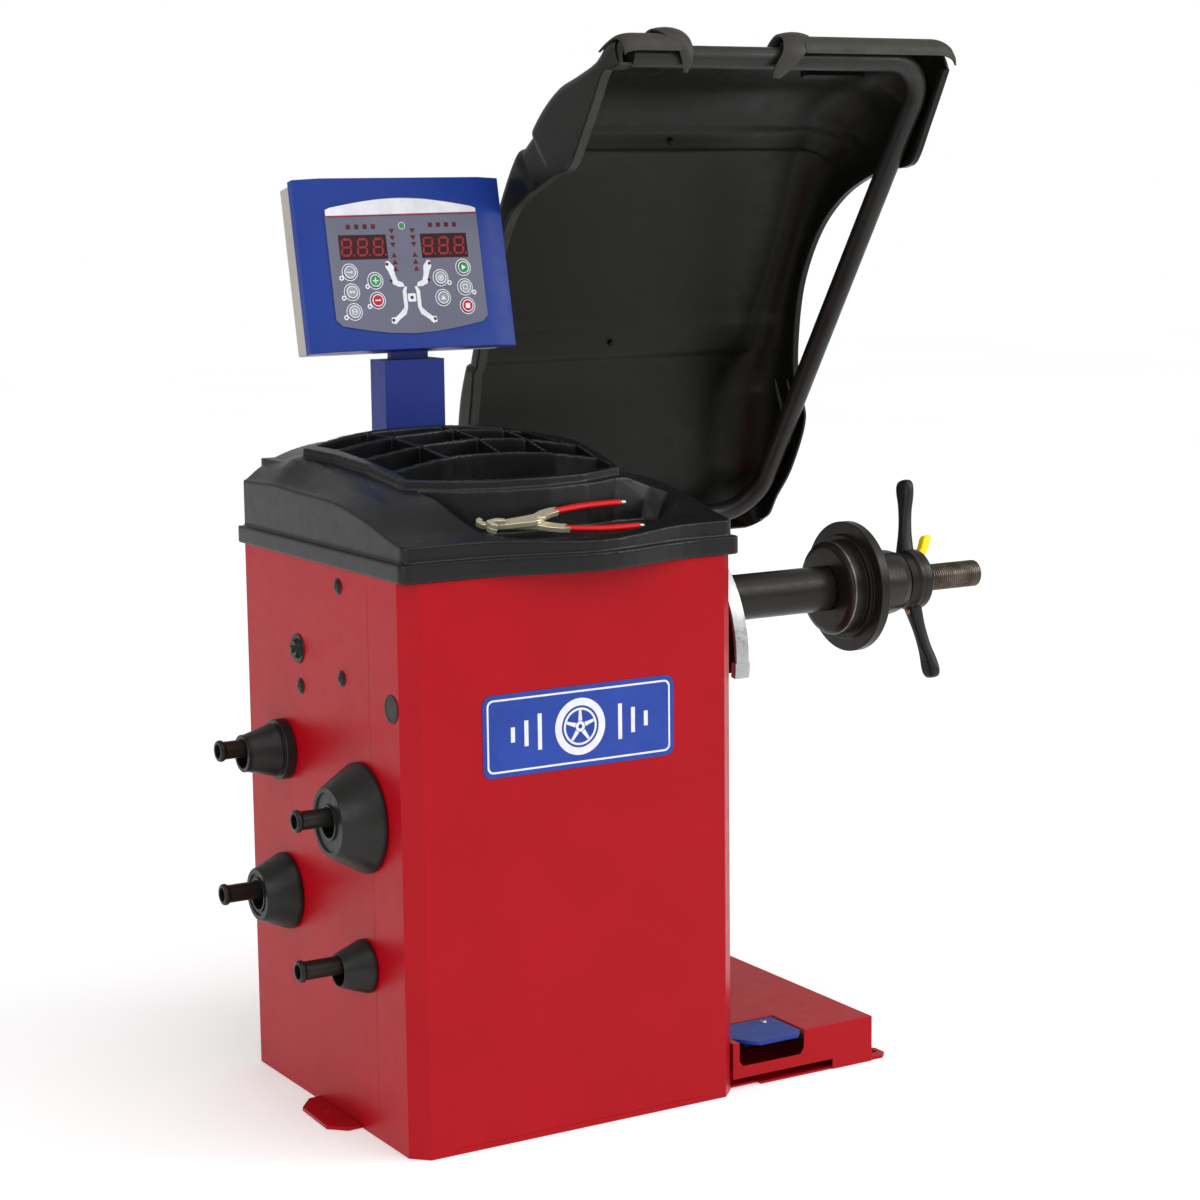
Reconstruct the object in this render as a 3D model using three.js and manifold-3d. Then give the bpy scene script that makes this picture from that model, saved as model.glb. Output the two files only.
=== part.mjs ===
// Wheel balancer: a steel cabinet with a motor-driven balancing shaft, a display head on a column,
// a weight tray, a pull-over wheel hood, a brake pedal in a floor platform, a rim gauge and a set of
// centring cones. Millimetres, +X to the machine's right (along the shaft), +Y back, +Z up.
// The origin is the middle of the cabinet's footprint on the floor.

import * as THREE from "three";
import { mergeVertices } from "three/addons/utils/BufferGeometryUtils.js";
import Module from "manifold-3d";

// ---------------------------------------------------------------- driving dimensions

const GAP = 0.3;

const CABINET = { halfWidth: 251, halfDepth: 247, height: 756.5, wall: 2.5, chamfer: 22 };
const BASE = { thickness: 3, notchHeight: 8, lugThickness: 5 };
const REAR = { halfWidth: 200, bottom: 60, top: 520, lap: 15, thickness: 2.5 };
const PLATFORM = { right: 491, front: -231, back: 247, top: 67, wall: 2.5 };
const PEDAL = { pivotY: -20, pivotZ: 45, pinRadius: 6, top: 66, thickness: 5 };

const SHAFT = { y: -45, z: 660, journalRadius: 17.2, threadRadius: 20, rearEnd: -135, threadEnd: 820 };
const HOUSING = { outerRadius: 33.2, innerRadius: 27, start: -70, end: 538 };
const FLANGE = { back: 540.3, face: 590, radius: 96, seatOuter: 94, seatInner: 60 };
const CUP = { start: 588, end: 668, mouthRadius: 56.5, noseRadius: 43 };
const NUT = { start: 673, end: 712, radius: 45, reach: 150, handleTilt: 14 };

const DRIVE = { start: -112, end: -96, radius: 75, drumRadius: 50, drumEnd: -84 };
const MOTOR = { y: 105, z: 480, radius: 62, front: -73.7, rear: 70, pulleyRadius: 22 };
const BELT = { clearance: 0.4, thickness: 3 };
const BRAKE = { pivotY: -120, pivotZ: 560, start: -95.5, end: -86 };

const HEAD = { x: 25, y: 238, z: 1019.5, leanDegrees: 11.7, halfWidth: 166, height: 249 };
const FASCIA = { left: -126, right: 118, bottom: 22, top: 220, bow: 14, corner: 9, thickness: 1.5 };
const KEY_RADIUS = 9.7;
const COLUMN = { left: -23, right: 73, front: 252, back: 300, bottom: 560, top: 1003, wall: 2.5 };

const HOOD = { left: 205, right: 767, wall: 4, pivotY: 448, pivotZ: 713 };
const HOOD_TUBE = { radius: 16, bore: 13.5, topY: -20, topZ: 1412, armX: 745, start: 88, end: 226 };
const HOOD_CUTOUT = { y: 77, z: 992, radius: 276 };

const GAUGE = { rodY: -116.5, rodZ: 734, rodRadius: 8, armStart: 280, armEnd: 300 };
const GAUGE_ARC = { y: -30.5, z: 601.6, inner: 145.5, outer: 170.5, startDegrees: 123, endDegrees: 189 };

const PEG = { radius: 12.5, bore: 9.5, beadRadius: 15, length: 100 };
const CONE = { bore: 20.2, drop: 7.4, start: -252 };

const TRAY = { bottom: 756.8, rimTop: 781, front: -251, bulge: 34, bowLeft: -150, bowRight: 190, back: 262 };
const DECK = { halfWidth: 248, frontHeight: 801, rise: 41, riseDepth: 262, step: 14 };
const BLOCK = { height: 880, slope: 0.11, proud: 12, wall: 4.4, binFloor: 852, crescentFloor: 836 };
const BOWL = { x: 28, y: -192, floor: 794.5 };
const HOLLOW = {
  halfWidth: 235,
  halfDepth: 236,
  roof: 787,
  underBlock: [-150, 130, -68, 150],
  blockRoof: 829,
};
const PLIERS = { x: -17, y: -181, z: 807.2, thickness: 7, tilt: 21.8 };

// ---------------------------------------------------------------- geometry helpers

const wasm = await Module();
wasm.setup();

// A closed geometry as a solid that can be joined and cut; its faces are turned outwards if needed.
function solid(geometry) {
  const bare = new THREE.BufferGeometry();
  bare.setAttribute("position", geometry.getAttribute("position"));
  bare.setIndex(geometry.index);
  const merged = mergeVertices(bare, 1e-3);
  const corners = merged.index.array;
  const triVerts = [];
  for (let i = 0; i < corners.length; i += 3) {
    const [a, b, c] = corners.slice(i, i + 3);
    if (a !== b && b !== c && c !== a) triVerts.push(a, b, c);
  }
  const vertProperties = merged.attributes.position.array;
  const build = (triangles) =>
    new wasm.Manifold(new wasm.Mesh({ numProp: 3, vertProperties, triVerts: Uint32Array.from(triangles) }));
  const made = build(triVerts);
  return made.volume() > 0 ? made : build(triVerts.reverse());
}

const asSolid = (item) => (item.isBufferGeometry ? solid(item) : item);
const join = (...items) => items.map(asSolid).reduce((whole, item) => whole.add(item));
const cut = (body, ...tools) => tools.reduce((rest, tool) => rest.subtract(asSolid(tool)), asSolid(body));
const common = (a, b) => asSolid(a).intersect(asSolid(b));
const radians = THREE.MathUtils.degToRad;

function meshOf(name, item, material) {
  const data = asSolid(item).getMesh();
  const geometry = new THREE.BufferGeometry();
  geometry.setAttribute("position", new THREE.BufferAttribute(Float32Array.from(data.vertProperties), 3));
  geometry.setIndex(new THREE.BufferAttribute(Uint32Array.from(data.triVerts), 1));
  geometry.computeVertexNormals();
  const mesh = new THREE.Mesh(geometry, material);
  mesh.name = name;
  return mesh;
}

const outline = (points) => new THREE.Shape(points.map(([a, b]) => new THREE.Vector2(a, b)));

function arcPoints(a, b, radius, startDegrees, endDegrees, steps) {
  return Array.from({ length: steps + 1 }, (_, i) => {
    const angle = radians(startDegrees + ((endDegrees - startDegrees) * i) / steps);
    return [a + radius * Math.cos(angle), b + radius * Math.sin(angle)];
  });
}

const circle = (a, b, radius, sides) => outline(arcPoints(a, b, radius, 0, 360 - 360 / sides, sides - 1));

function ringSector(a, b, inner, outer, startDegrees, endDegrees, steps) {
  return outline([
    ...arcPoints(a, b, outer, startDegrees, endDegrees, steps),
    ...arcPoints(a, b, inner, endDegrees, startDegrees, steps),
  ]);
}

function roundedRectangle(left, right, bottom, top, radius, steps = 3) {
  return outline([
    ...arcPoints(right - radius, top - radius, radius, 0, 90, steps),
    ...arcPoints(left + radius, top - radius, radius, 90, 180, steps),
    ...arcPoints(left + radius, bottom + radius, radius, 180, 270, steps),
    ...arcPoints(right - radius, bottom + radius, radius, 270, 360, steps),
  ]);
}

// An outline drawn in the plane across an axis and pushed along it: (Y, Z) for x, (X, Z) for y, (X, Y) for z.
function extrude(axis, shape, from, to) {
  const geometry = new THREE.ExtrudeGeometry(shape, { depth: to - from, bevelEnabled: false });
  const unit = {
    x: new THREE.Vector3(1, 0, 0),
    y: new THREE.Vector3(0, 1, 0),
    z: new THREE.Vector3(0, 0, 1),
  };
  const turn = new THREE.Matrix4();
  if (axis === "x") turn.makeBasis(unit.y, unit.z, unit.x).setPosition(from, 0, 0);
  if (axis === "y") turn.makeBasis(unit.x, unit.z, unit.y.negate()).setPosition(0, to, 0);
  if (axis === "z") turn.setPosition(0, 0, from);
  return geometry.applyMatrix4(turn);
}

// A profile of [position along the axis, radius] points, closed on itself, turned about that axis.
function turned(axis, profile, centreA, centreB, sides) {
  const points = [...profile, profile[0]].map(([along, radius]) => new THREE.Vector2(radius, along));
  const geometry = new THREE.LatheGeometry(points, sides);
  if (axis === "x") return geometry.rotateZ(-Math.PI / 2).translate(0, centreA, centreB);
  if (axis === "y") return geometry.translate(centreA, 0, centreB);
  return geometry.rotateX(Math.PI / 2).translate(centreA, centreB, 0);
}

const rod = (axis, from, to, radius, centreA, centreB, sides) =>
  turned(axis, [[from, 0], [from, radius], [to, radius], [to, 0]], centreA, centreB, sides);

const ring = (axis, from, to, inner, outer, centreA, centreB, sides) =>
  turned(axis, [[from, inner], [from, outer], [to, outer], [to, inner]], centreA, centreB, sides);

const box = (x0, x1, y0, y1, z0, z1) =>
  new THREE.BoxGeometry(x1 - x0, y1 - y0, z1 - z0).translate((x0 + x1) / 2, (y0 + y1) / 2, (z0 + z1) / 2);

// The points of a bent tube: straight runs between corners, each corner rounded to the bend radius.
function bentRoute(corners, bendRadius, stepsPerBend) {
  const points = [corners[0]];
  for (let i = 1; i < corners.length - 1; i += 1) {
    const back = corners[i - 1].clone().sub(corners[i]).normalize();
    const ahead = corners[i + 1].clone().sub(corners[i]).normalize();
    const half = back.angleTo(ahead) / 2;
    const toCentre = back.clone().add(ahead).normalize().multiplyScalar(bendRadius / Math.sin(half));
    const centre = corners[i].clone().add(toCentre);
    const start = corners[i].clone().addScaledVector(back, bendRadius / Math.tan(half)).sub(centre);
    const axis = new THREE.Vector3().crossVectors(ahead, back).normalize().negate();
    for (let step = 0; step <= stepsPerBend; step += 1) {
      const turn = ((Math.PI - 2 * half) * step) / stepsPerBend;
      points.push(start.clone().applyAxisAngle(axis, -turn).add(centre));
    }
  }
  points.push(corners.at(-1));
  return points;
}

// A curve that an extrusion samples exactly at the given points.
class Route extends THREE.Curve {
  constructor(points) {
    super();
    this.points = points;
  }
  getPointAt(u) {
    return this.points[Math.round(u * (this.points.length - 1))].clone();
  }
  getTangentAt(u) {
    const i = Math.round(u * (this.points.length - 1));
    const here = this.points[i];
    const sum = new THREE.Vector3();
    if (i > 0) sum.add(here.clone().sub(this.points[i - 1]).normalize());
    if (i < this.points.length - 1) sum.add(this.points[i + 1].clone().sub(here).normalize());
    return sum.normalize();
  }
}

function tubeAlong(points, radius, sides, bore = 0) {
  const section = circle(0, 0, radius, sides);
  if (bore) section.holes.push(circle(0, 0, bore, sides));
  const settings = { extrudePath: new Route(points), steps: points.length - 1, bevelEnabled: false };
  return new THREE.ExtrudeGeometry(section, settings);
}

// An open line of [a, b] points moved sideways by a distance, to the left of its direction of travel.
function offsetLine(points, distance) {
  const vectors = points.map(([a, b]) => new THREE.Vector2(a, b));
  return vectors.map((point, i) => {
    const before = point.clone().sub(vectors[Math.max(i - 1, 0)]).normalize();
    const after = vectors[Math.min(i + 1, vectors.length - 1)].clone().sub(point).normalize();
    const along = before.clone().add(after).normalize();
    const side = new THREE.Vector2(-along.y, along.x);
    const reference = before.lengthSq() > 0 ? before : after;
    const stretch = 1 / Math.max(along.dot(reference), 0.5);
    return [point.x + side.x * distance * stretch, point.y + side.y * distance * stretch];
  });
}

// ---------------------------------------------------------------- materials

function paint(color, roughness = 0.45, metalness = 0.1) {
  return new THREE.MeshStandardMaterial({ color, roughness, metalness });
}

const MATERIAL = {
  redPaint: paint(0xb91428),
  bluePaint: paint(0x304891),
  greyPaint: paint(0x8d9196),
  blackPlastic: paint(0x323435, 0.6, 0),
  hoodPlastic: paint(0x25241f, 0.55, 0),
  keyPlastic: paint(0xb9bcc0, 0.5, 0),
  ledGlass: paint(0x4a0a0c, 0.2, 0),
  fascia: paint(0x33373f, 0.5, 0),
  blackSteel: paint(0x2b2925, 0.35, 0.8),
  brightSteel: paint(0xb5b2aa, 0.3, 0.9),
  castIron: paint(0x4a4a4a, 0.7, 0.6),
  aluminium: paint(0xa9adb0, 0.4, 0.9),
  rubber: paint(0x161616, 0.9, 0),
  board: paint(0x1f5b35, 0.6, 0),
  yellowPlastic: paint(0xf2d21a, 0.5, 0),
  redGrip: paint(0xc01620, 0.5, 0),
};

const machine = new THREE.Group();
const add = (name, item, material, group = machine) => group.add(meshOf(name, item, material));

// ---------------------------------------------------------------- cabinet, base and rear panel

function cabinetPlan(inset) {
  const x = CABINET.halfWidth - inset;
  const y = CABINET.halfDepth - inset;
  const chamfer = CABINET.chamfer - inset * (2 - Math.SQRT2);
  const corner = -y + chamfer;
  return outline([[x, y], [-x, y], [-x, corner], [-x + chamfer, -y], [x - chamfer, -y], [x, corner]]);
}

function cabinetShell() {
  const { halfWidth, halfDepth, height, wall } = CABINET;
  const outside = halfWidth + 9;
  const inside = halfWidth - wall - 5;
  return cut(
    extrude("z", cabinetPlan(0), 0, height),
    extrude("z", cabinetPlan(wall), -1, height - wall),
    box(-191, 194, -halfDepth - 5, -halfDepth + 5, -1, BASE.notchHeight),
    box(-outside, -inside, -95, 116, -1, BASE.notchHeight),
    box(inside, outside, -220, 220, -1, BASE.notchHeight),
    rod("x", inside, outside, HOUSING.outerRadius + 1.3, SHAFT.y, SHAFT.z, 32),
    rod("x", inside, outside, 15, GAUGE.rodY, GAUGE.rodZ, 20),
    box(inside, outside, -5, 25, 5, 60),
    box(-REAR.halfWidth, REAR.halfWidth, halfDepth - 9, halfDepth + 9, REAR.bottom, REAR.top),
  );
}

const earOutline = (y, z, radius, foot) =>
  outline([[y - radius, foot], [y + radius, foot], ...arcPoints(y, z, radius, 0, 180, 8)]);

function baseFrame() {
  const { thickness, notchHeight, lugThickness } = BASE;
  const innerX = CABINET.halfWidth - CABINET.wall - GAP;
  const innerY = CABINET.halfDepth - CABINET.wall - GAP;
  const lug = (points, hole) => {
    const shape = outline(points);
    shape.holes.push(circle(...hole, 7, 16));
    return extrude("z", shape, 0, lugThickness);
  };
  const leftLug = [[-251.6, 50], [-267, 48], [-290, 19.5], [-294, -65.5], [-272, -87.5], [-251.6, -86.5]];
  const rightLug = [[489.6, -190], [489.6, -228], [512, -228], [521, -220], [521, -198], [512, -190]];
  const ear = (x) => {
    const shape = earOutline(PEDAL.pivotY, PEDAL.pivotZ, 12, thickness - 1);
    shape.holes.push(circle(PEDAL.pivotY, PEDAL.pivotZ, PEDAL.pinRadius + 0.4, 16));
    return extrude("x", shape, x, x + 5);
  };
  return join(
    box(-innerX, innerX, -innerY + 24, innerY, 0, thickness),
    box(-innerX + 24, innerX - 24, -innerY, innerY, 0, thickness),
    box(innerX - 2, PLATFORM.right - 2.8, -219.7, 219.7, 0, thickness),
    box(300, PLATFORM.right - 2.8, -228.2, 219.7, 0, thickness),
    box(-190.7, 193.7, -CABINET.halfDepth, -innerY + 2, 0, notchHeight - GAP),
    box(-CABINET.halfWidth, -innerX + 2, -94.7, 115.7, 0, notchHeight - GAP),
    box(-252, -innerX, -80, 44, 0, 4),
    lug(leftLug, [-272, -13]),
    box(PLATFORM.right - 3.5, 490, -228.2, -191, 0, thickness),
    lug(rightLug, [508, -208]),
    ear(288),
    ear(339),
  );
}

function rearPanel() {
  const front = CABINET.halfDepth + GAP;
  const back = front + REAR.thickness;
  const shape = roundedRectangle(
    -REAR.halfWidth - REAR.lap, REAR.halfWidth + REAR.lap, REAR.bottom - REAR.lap, REAR.top + REAR.lap, 8, 2);
  for (let row = 0; row < 7; row += 1) {
    const z = 330 + 22 * row;
    shape.holes.push(outline([[-70, z], [70, z], [70, z + 6], [-70, z + 6]]));
  }
  shape.holes.push(outline([[-165.5, 96], [-134.5, 96], [-134.5, 158], [-165.5, 158]]));
  return extrude("y", shape, front, back);
}

function mainsInlet() {
  const panelBack = CABINET.halfDepth + GAP + REAR.thickness + GAP;
  const socket = cut(
    join(
      box(-176, -124, panelBack, panelBack + 2.2, 90, 164),
      box(-165, -135, 214, panelBack + 0.5, 97, 157),
    ),
    box(-162, -138, 228, 260, 100, 118),
    box(-162, -138, 230, 260, 126, 154),
  );
  const pin = (x, z) => box(x - 1, x + 1, 227, 244, z - 2, z + 2);
  return join(socket, pin(-150, 113), pin(-157, 106), pin(-143, 106));
}

// A rocker in its off position: its two faces meet at the middle, and one end stands in.
function powerRocker() {
  const rocker = outline([[-10, -12.6], [-2, -12.6], [1, 0], [-2, 12.6], [-10, 12.6]]);
  const geometry = extrude("x", rocker, -161.2, -138.8);
  return geometry.rotateX(radians(-6)).translate(0, 250, 140);
}

add("cabinet_shell", cabinetShell(), MATERIAL.redPaint);
add("base_frame", baseFrame(), MATERIAL.redPaint);
add("rear_panel", rearPanel(), MATERIAL.redPaint);
add("mains_inlet", mainsInlet(), MATERIAL.blackPlastic);
add("power_switch", powerRocker(), MATERIAL.rubber);

// ---------------------------------------------------------------- platform and brake pedal

function platformCover() {
  const { right, front, back, top, wall } = PLATFORM;
  const left = CABINET.halfWidth + GAP;
  const frontOpening = outline([[263, 80], [263, 40], [269, 32], [366, 32], [372, 40], [372, 80]]);
  return cut(
    box(left, right, front, back, 0, top),
    box(left - 5, right - wall, front + wall, back - wall, -1, top - wall),
    box(left - 5, 422, front - 5, front + wall + 1, -1, 15),
    box(right - wall - 1, right + 5, front + wall, back + 5, -1, 8),
    box(left - 5, right, back - wall - 1, back + 5, -1, 8),
    extrude("y", frontOpening, front - 5, front + 5),
    box(263, 372, front - 5, -150, top - wall - 5, top + 5),
  );
}

function brakePedal() {
  const { pivotY, pivotZ, pinRadius, top, thickness } = PEDAL;
  const plate = outline([
    [264.5, -152.5], [264.5, -207], [290, -240], [355, -240], [368, -226], [368, -152.5],
  ]);
  const weld = top - thickness + 1;
  const arm = outline([
    [-184, weld], [-184, 46], [-176, 38], [-32, 38], [-20, 33], [8, 40], [8, 50], [-20, 57], [-32, 51],
    [-168, 51], [-168, weld],
  ]);
  return cut(
    join(
      extrude("z", plate, top - thickness, top),
      extrude("x", arm, 306, 326),
      rod("x", 295, 337, 12, pivotY, pivotZ, 20),
    ),
    rod("x", 290, 342, pinRadius + 0.5, pivotY, pivotZ, 20),
  );
}

const pedalPin = () =>
  join(
    rod("x", 286, 347, PEDAL.pinRadius, PEDAL.pivotY, PEDAL.pivotZ, 20),
    rod("x", 282, 287.5, 9, PEDAL.pivotY, PEDAL.pivotZ, 20),
  );

function brakeCable() {
  const places = [[315, 4, 35], [313, 4, 22], [300, 6, 15], [250, 8, 14], [222, -20, 14], [208, -90, 14],
    [175, -132, 14], [60, -140, 14], [-40, -145, 15], [-78, -152, 30], [-90.5, -160, 70], [-90.5, -164, 200],
    [-90.5, -164, 380], [-90.5, -162, 470], [-90.5, -152, 498], [-90.5, -136, 506]];
  const curve = new THREE.CatmullRomCurve3(places.map((place) => new THREE.Vector3(...place)));
  return tubeAlong(curve.getSpacedPoints(34), 3, 8);
}

add("platform_cover", platformCover(), MATERIAL.redPaint);
add("brake_pedal", brakePedal(), MATERIAL.bluePaint);
add("pedal_pin", pedalPin(), MATERIAL.brightSteel);
add("brake_cable", brakeCable(), MATERIAL.rubber);

// ---------------------------------------------------------------- balancing shaft and its drive

function spindleHousing() {
  const { outerRadius, innerRadius, start, end } = HOUSING;
  return ring("x", start, end, innerRadius, outerRadius, SHAFT.y, SHAFT.z, 28);
}

// Two ring plates on a folded column hold the housing over the base.
function spindleSupport() {
  const bore = HOUSING.outerRadius + GAP;
  const foot = BASE.thickness + GAP;
  const plate = (x) => {
    const crown = arcPoints(SHAFT.y, SHAFT.z, 48, 0, 180, 12);
    const shape = outline([[SHAFT.y - 48, foot], [SHAFT.y + 48, foot], ...crown]);
    shape.holes.push(circle(SHAFT.y, SHAFT.z, bore + 0.3, 28));
    return extrude("x", shape, x, x + 12);
  };
  return join(
    plate(10),
    plate(150),
    box(15, 155, SHAFT.y - 48, SHAFT.y - 40, foot, 600),
    box(-10, 182, SHAFT.y - 70, SHAFT.y + 70, foot, foot + 8),
    box(-62, 12, SHAFT.y - 20, SHAFT.y, 430, 455),
    box(-62, 12, SHAFT.y - 20, SHAFT.y, 560, 585),
  );
}

const bearing = (start) => {
  const outer = HOUSING.innerRadius - GAP;
  const inner = SHAFT.journalRadius + GAP;
  return ring("x", start, start + 18, inner, outer, SHAFT.y, SHAFT.z, 24);
};

function spindleShaft() {
  const { rearEnd, threadEnd, journalRadius, threadRadius } = SHAFT;
  return turned("x", [[rearEnd, 0], [rearEnd, journalRadius - 1.5], [rearEnd + 1.5, journalRadius],
    [538.5, journalRadius], [538.5, threadRadius], [threadEnd - 3, threadRadius],
    [threadEnd, threadRadius - 3],
    [threadEnd, 0]], SHAFT.y, SHAFT.z, 24);
}

function wheelFlange() {
  const { back, face, radius, seatOuter, seatInner } = FLANGE;
  const bore = SHAFT.threadRadius + GAP;
  return turned("x", [[back, bore], [back, 61], [back + 8, 69], [568, 69], [568, 77], [574, 77],
    [574, radius], [face - 2, radius], [face, seatOuter], [face, seatInner],
    [face - 3, seatInner], [face - 3, bore]], SHAFT.y, SHAFT.z, 32);
}

function pressureCup() {
  const bore = SHAFT.threadRadius + GAP;
  const { start, end, mouthRadius, noseRadius } = CUP;
  return turned("x", [[start, mouthRadius - 4.5], [start, mouthRadius], [start + 8, mouthRadius],
    [656, 47], [end, noseRadius], [end, bore], [644, bore], [636, 45]], SHAFT.y, SHAFT.z, 28);
}

function quickNut() {
  const bore = SHAFT.threadRadius + GAP;
  const { start, end, radius, reach } = NUT;
  const body = turned("x", [[start, bore], [start, 39], [start + 10, 42], [start + 14, radius],
    [end - 6, radius], [end, radius - 8], [end, bore]], SHAFT.y, SHAFT.z, 24);
  const side = outline([[36, 678], [52, 681], [96, 692], [126, 701], [144, 702], [reach, 707], [reach, 716],
    [144, 720], [126, 719], [96, 710], [52, 706], [36, 708]]);
  const handle = (turnDegrees) => {
    const geometry = extrude("z", side, -14, 14);
    const place = new THREE.Matrix4().makeBasis(
      new THREE.Vector3(0, 0, 1), new THREE.Vector3(1, 0, 0), new THREE.Vector3(0, 1, 0));
    geometry.applyMatrix4(place);
    geometry.rotateX(radians(turnDegrees - NUT.handleTilt));
    return geometry.translate(0, SHAFT.y, SHAFT.z);
  };
  return cut(
    join(body, handle(0), handle(180)),
    rod("x", start - 5, end + 12, bore, SHAFT.y, SHAFT.z, 24),
  );
}

function nutRelease() {
  const tab = outline([
    [24.5, 712.6], [38, 712.6], [46, 722], [62, 730],
    [64, 737], [61, 743], [44, 735], [24.5, 720],
  ]);
  const place = new THREE.Matrix4().makeBasis(
    new THREE.Vector3(0, 0, 1), new THREE.Vector3(1, 0, 0), new THREE.Vector3(0, 1, 0));
  return extrude("z", tab, -6.5, 6.5).applyMatrix4(place).rotateX(radians(-NUT.handleTilt))
    .translate(0, SHAFT.y, SHAFT.z);
}

function drivePulley() {
  const bore = SHAFT.journalRadius + GAP;
  const { start, end, radius, drumRadius, drumEnd } = DRIVE;
  return turned("x", [[start, bore], [start, 28], [start + 3, 30], [start + 3, radius - 8],
    [start, radius - 8],
    [start, radius], [end, radius], [end, drumRadius], [drumEnd, drumRadius], [drumEnd, bore]],
    SHAFT.y, SHAFT.z, 28);
}

const encoderDisc = () =>
  turned("x", [[-128, SHAFT.journalRadius + GAP], [-128, 26], [-125, 26], [-125, 50], [-123, 50],
    [-123, SHAFT.journalRadius + GAP]], SHAFT.y, SHAFT.z, 20);

function motor() {
  const { y, z, radius, front, rear } = MOTOR;
  const body = turned("x", [[front, 9], [front, radius - 12], [front + 8, radius], [rear - 8, radius],
    [rear, radius - 12], [rear, 0], [-50, 0], [-50, 9]], y, z, 28);
  return join(body, box(-30, 30, y + 40, y + 85, z - 22, z + 22));
}

const motorPulley = () =>
  join(
    ring("x", DRIVE.start, DRIVE.end, 0, MOTOR.pulleyRadius, MOTOR.y, MOTOR.z, 24),
    rod("x", DRIVE.start + 2, -52, 7, MOTOR.y, MOTOR.z, 16),
  );

// The plate that carries the motor, with two arms to the spindle support and the brake lever's pin.
function motorBracket() {
  const plate = outline([[-135, 545], [-60, 405], [30, 400], [170, 400], [170, 560], [60, 570], [-100, 575],
    [-135, 572]]);
  plate.holes.push(circle(MOTOR.y, MOTOR.z, 14, 20));
  return join(
    extrude("x", plate, -80, -74),
    box(-75, -62.3, SHAFT.y - 20, SHAFT.y, 430, 455),
    box(-75, -62.3, SHAFT.y - 20, SHAFT.y, 555, 567),
    rod("x", BRAKE.start - 1, -79, 6, BRAKE.pivotY, BRAKE.pivotZ, 16),
    rod("x", -84.5, -79, 10, BRAKE.pivotY, BRAKE.pivotZ, 16),
  );
}

// A flat loop round two circles: the arcs between their outer tangents.
function beltOutline(extra) {
  const large = DRIVE.radius + extra;
  const small = MOTOR.pulleyRadius + extra;
  const dy = MOTOR.y - SHAFT.y;
  const dz = MOTOR.z - SHAFT.z;
  const heading = THREE.MathUtils.radToDeg(Math.atan2(dz, dy));
  const spread = THREE.MathUtils.radToDeg(Math.acos((large - small) / Math.hypot(dy, dz)));
  return outline([
    ...arcPoints(SHAFT.y, SHAFT.z, large, heading + spread, heading + 360 - spread, 24),
    ...arcPoints(MOTOR.y, MOTOR.z, small, heading - spread, heading + spread, 10),
  ]);
}

function driveBelt() {
  const inner = BELT.clearance + 0.4;
  const loop = beltOutline(inner + BELT.thickness);
  loop.holes.push(beltOutline(inner));
  return extrude("x", loop, DRIVE.start + 1, DRIVE.end - 1);
}

// The lever stands beside the drum: a curved shoe above its pivot and a cable tail below.
function brakeLever() {
  const { pivotY, pivotZ, start, end } = BRAKE;
  const bar = outline([[pivotY - 9, 500], [pivotY + 7, 500], [pivotY + 13, pivotZ], [-100, 630], [-104, 690],
    [-116, 690], [pivotY - 13, pivotZ + 4]]);
  const shoe = ringSector(SHAFT.y, SHAFT.z, DRIVE.drumRadius + 3.6, 64, 156, 204, 8);
  return cut(
    join(extrude("x", bar, start, end), extrude("x", shoe, start, end)),
    rod("x", start - 5, end + 5, 6.5, pivotY, pivotZ, 16),
  );
}

add("spindle_housing", spindleHousing(), MATERIAL.blackSteel);
add("spindle_support", spindleSupport(), MATERIAL.castIron);
add("bearing_front", bearing(516), MATERIAL.brightSteel);
add("bearing_rear", bearing(-66), MATERIAL.brightSteel);
add("spindle_shaft", spindleShaft(), MATERIAL.blackSteel);
add("wheel_flange", wheelFlange(), MATERIAL.blackSteel);
add("pressure_cup", pressureCup(), MATERIAL.blackSteel);
add("quick_nut", quickNut(), MATERIAL.blackPlastic);
add("nut_release", nutRelease(), MATERIAL.yellowPlastic);
add("drive_pulley", drivePulley(), MATERIAL.castIron);
add("encoder_disc", encoderDisc(), MATERIAL.aluminium);
add("motor", motor(), MATERIAL.castIron);
add("motor_pulley", motorPulley(), MATERIAL.brightSteel);
add("motor_bracket", motorBracket(), MATERIAL.greyPaint);
add("drive_belt", driveBelt(), MATERIAL.rubber);
add("brake_lever", brakeLever(), MATERIAL.greyPaint);

// ---------------------------------------------------------------- power board

function powerBoard() {
  const face = -CABINET.halfWidth + CABINET.wall;
  const standOff = (y, z) => box(face + GAP, face + 13, y - 4, y + 4, z - 4, z + 4);
  const boardX = face + 12;
  return join(
    box(boardX, boardX + 1.8, -100, 60, 250, 400),
    ...[[-92, 258], [-92, 392], [52, 258], [52, 392]].map(([y, z]) => standOff(y, z)),
    box(boardX + 1, boardX + 32, -60, -10, 270, 330),
    box(boardX + 1, boardX + 22, -80, -30, 345, 390),
    rod("x", boardX + 1, boardX + 42, 14, 30, 290, 16),
    rod("x", boardX + 1, boardX + 42, 14, 30, 330, 16),
  );
}

add("power_board", powerBoard(), MATERIAL.board);

// ---------------------------------------------------------------- weight tray

// How far the front edge bows forward at a place across the tray.
function frontBow(x) {
  const part = (x - TRAY.bowLeft) / (TRAY.bowRight - TRAY.bowLeft);
  return part > 0 && part < 1 ? TRAY.bulge * Math.sin(Math.PI * part) ** 2 : 0;
}

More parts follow.
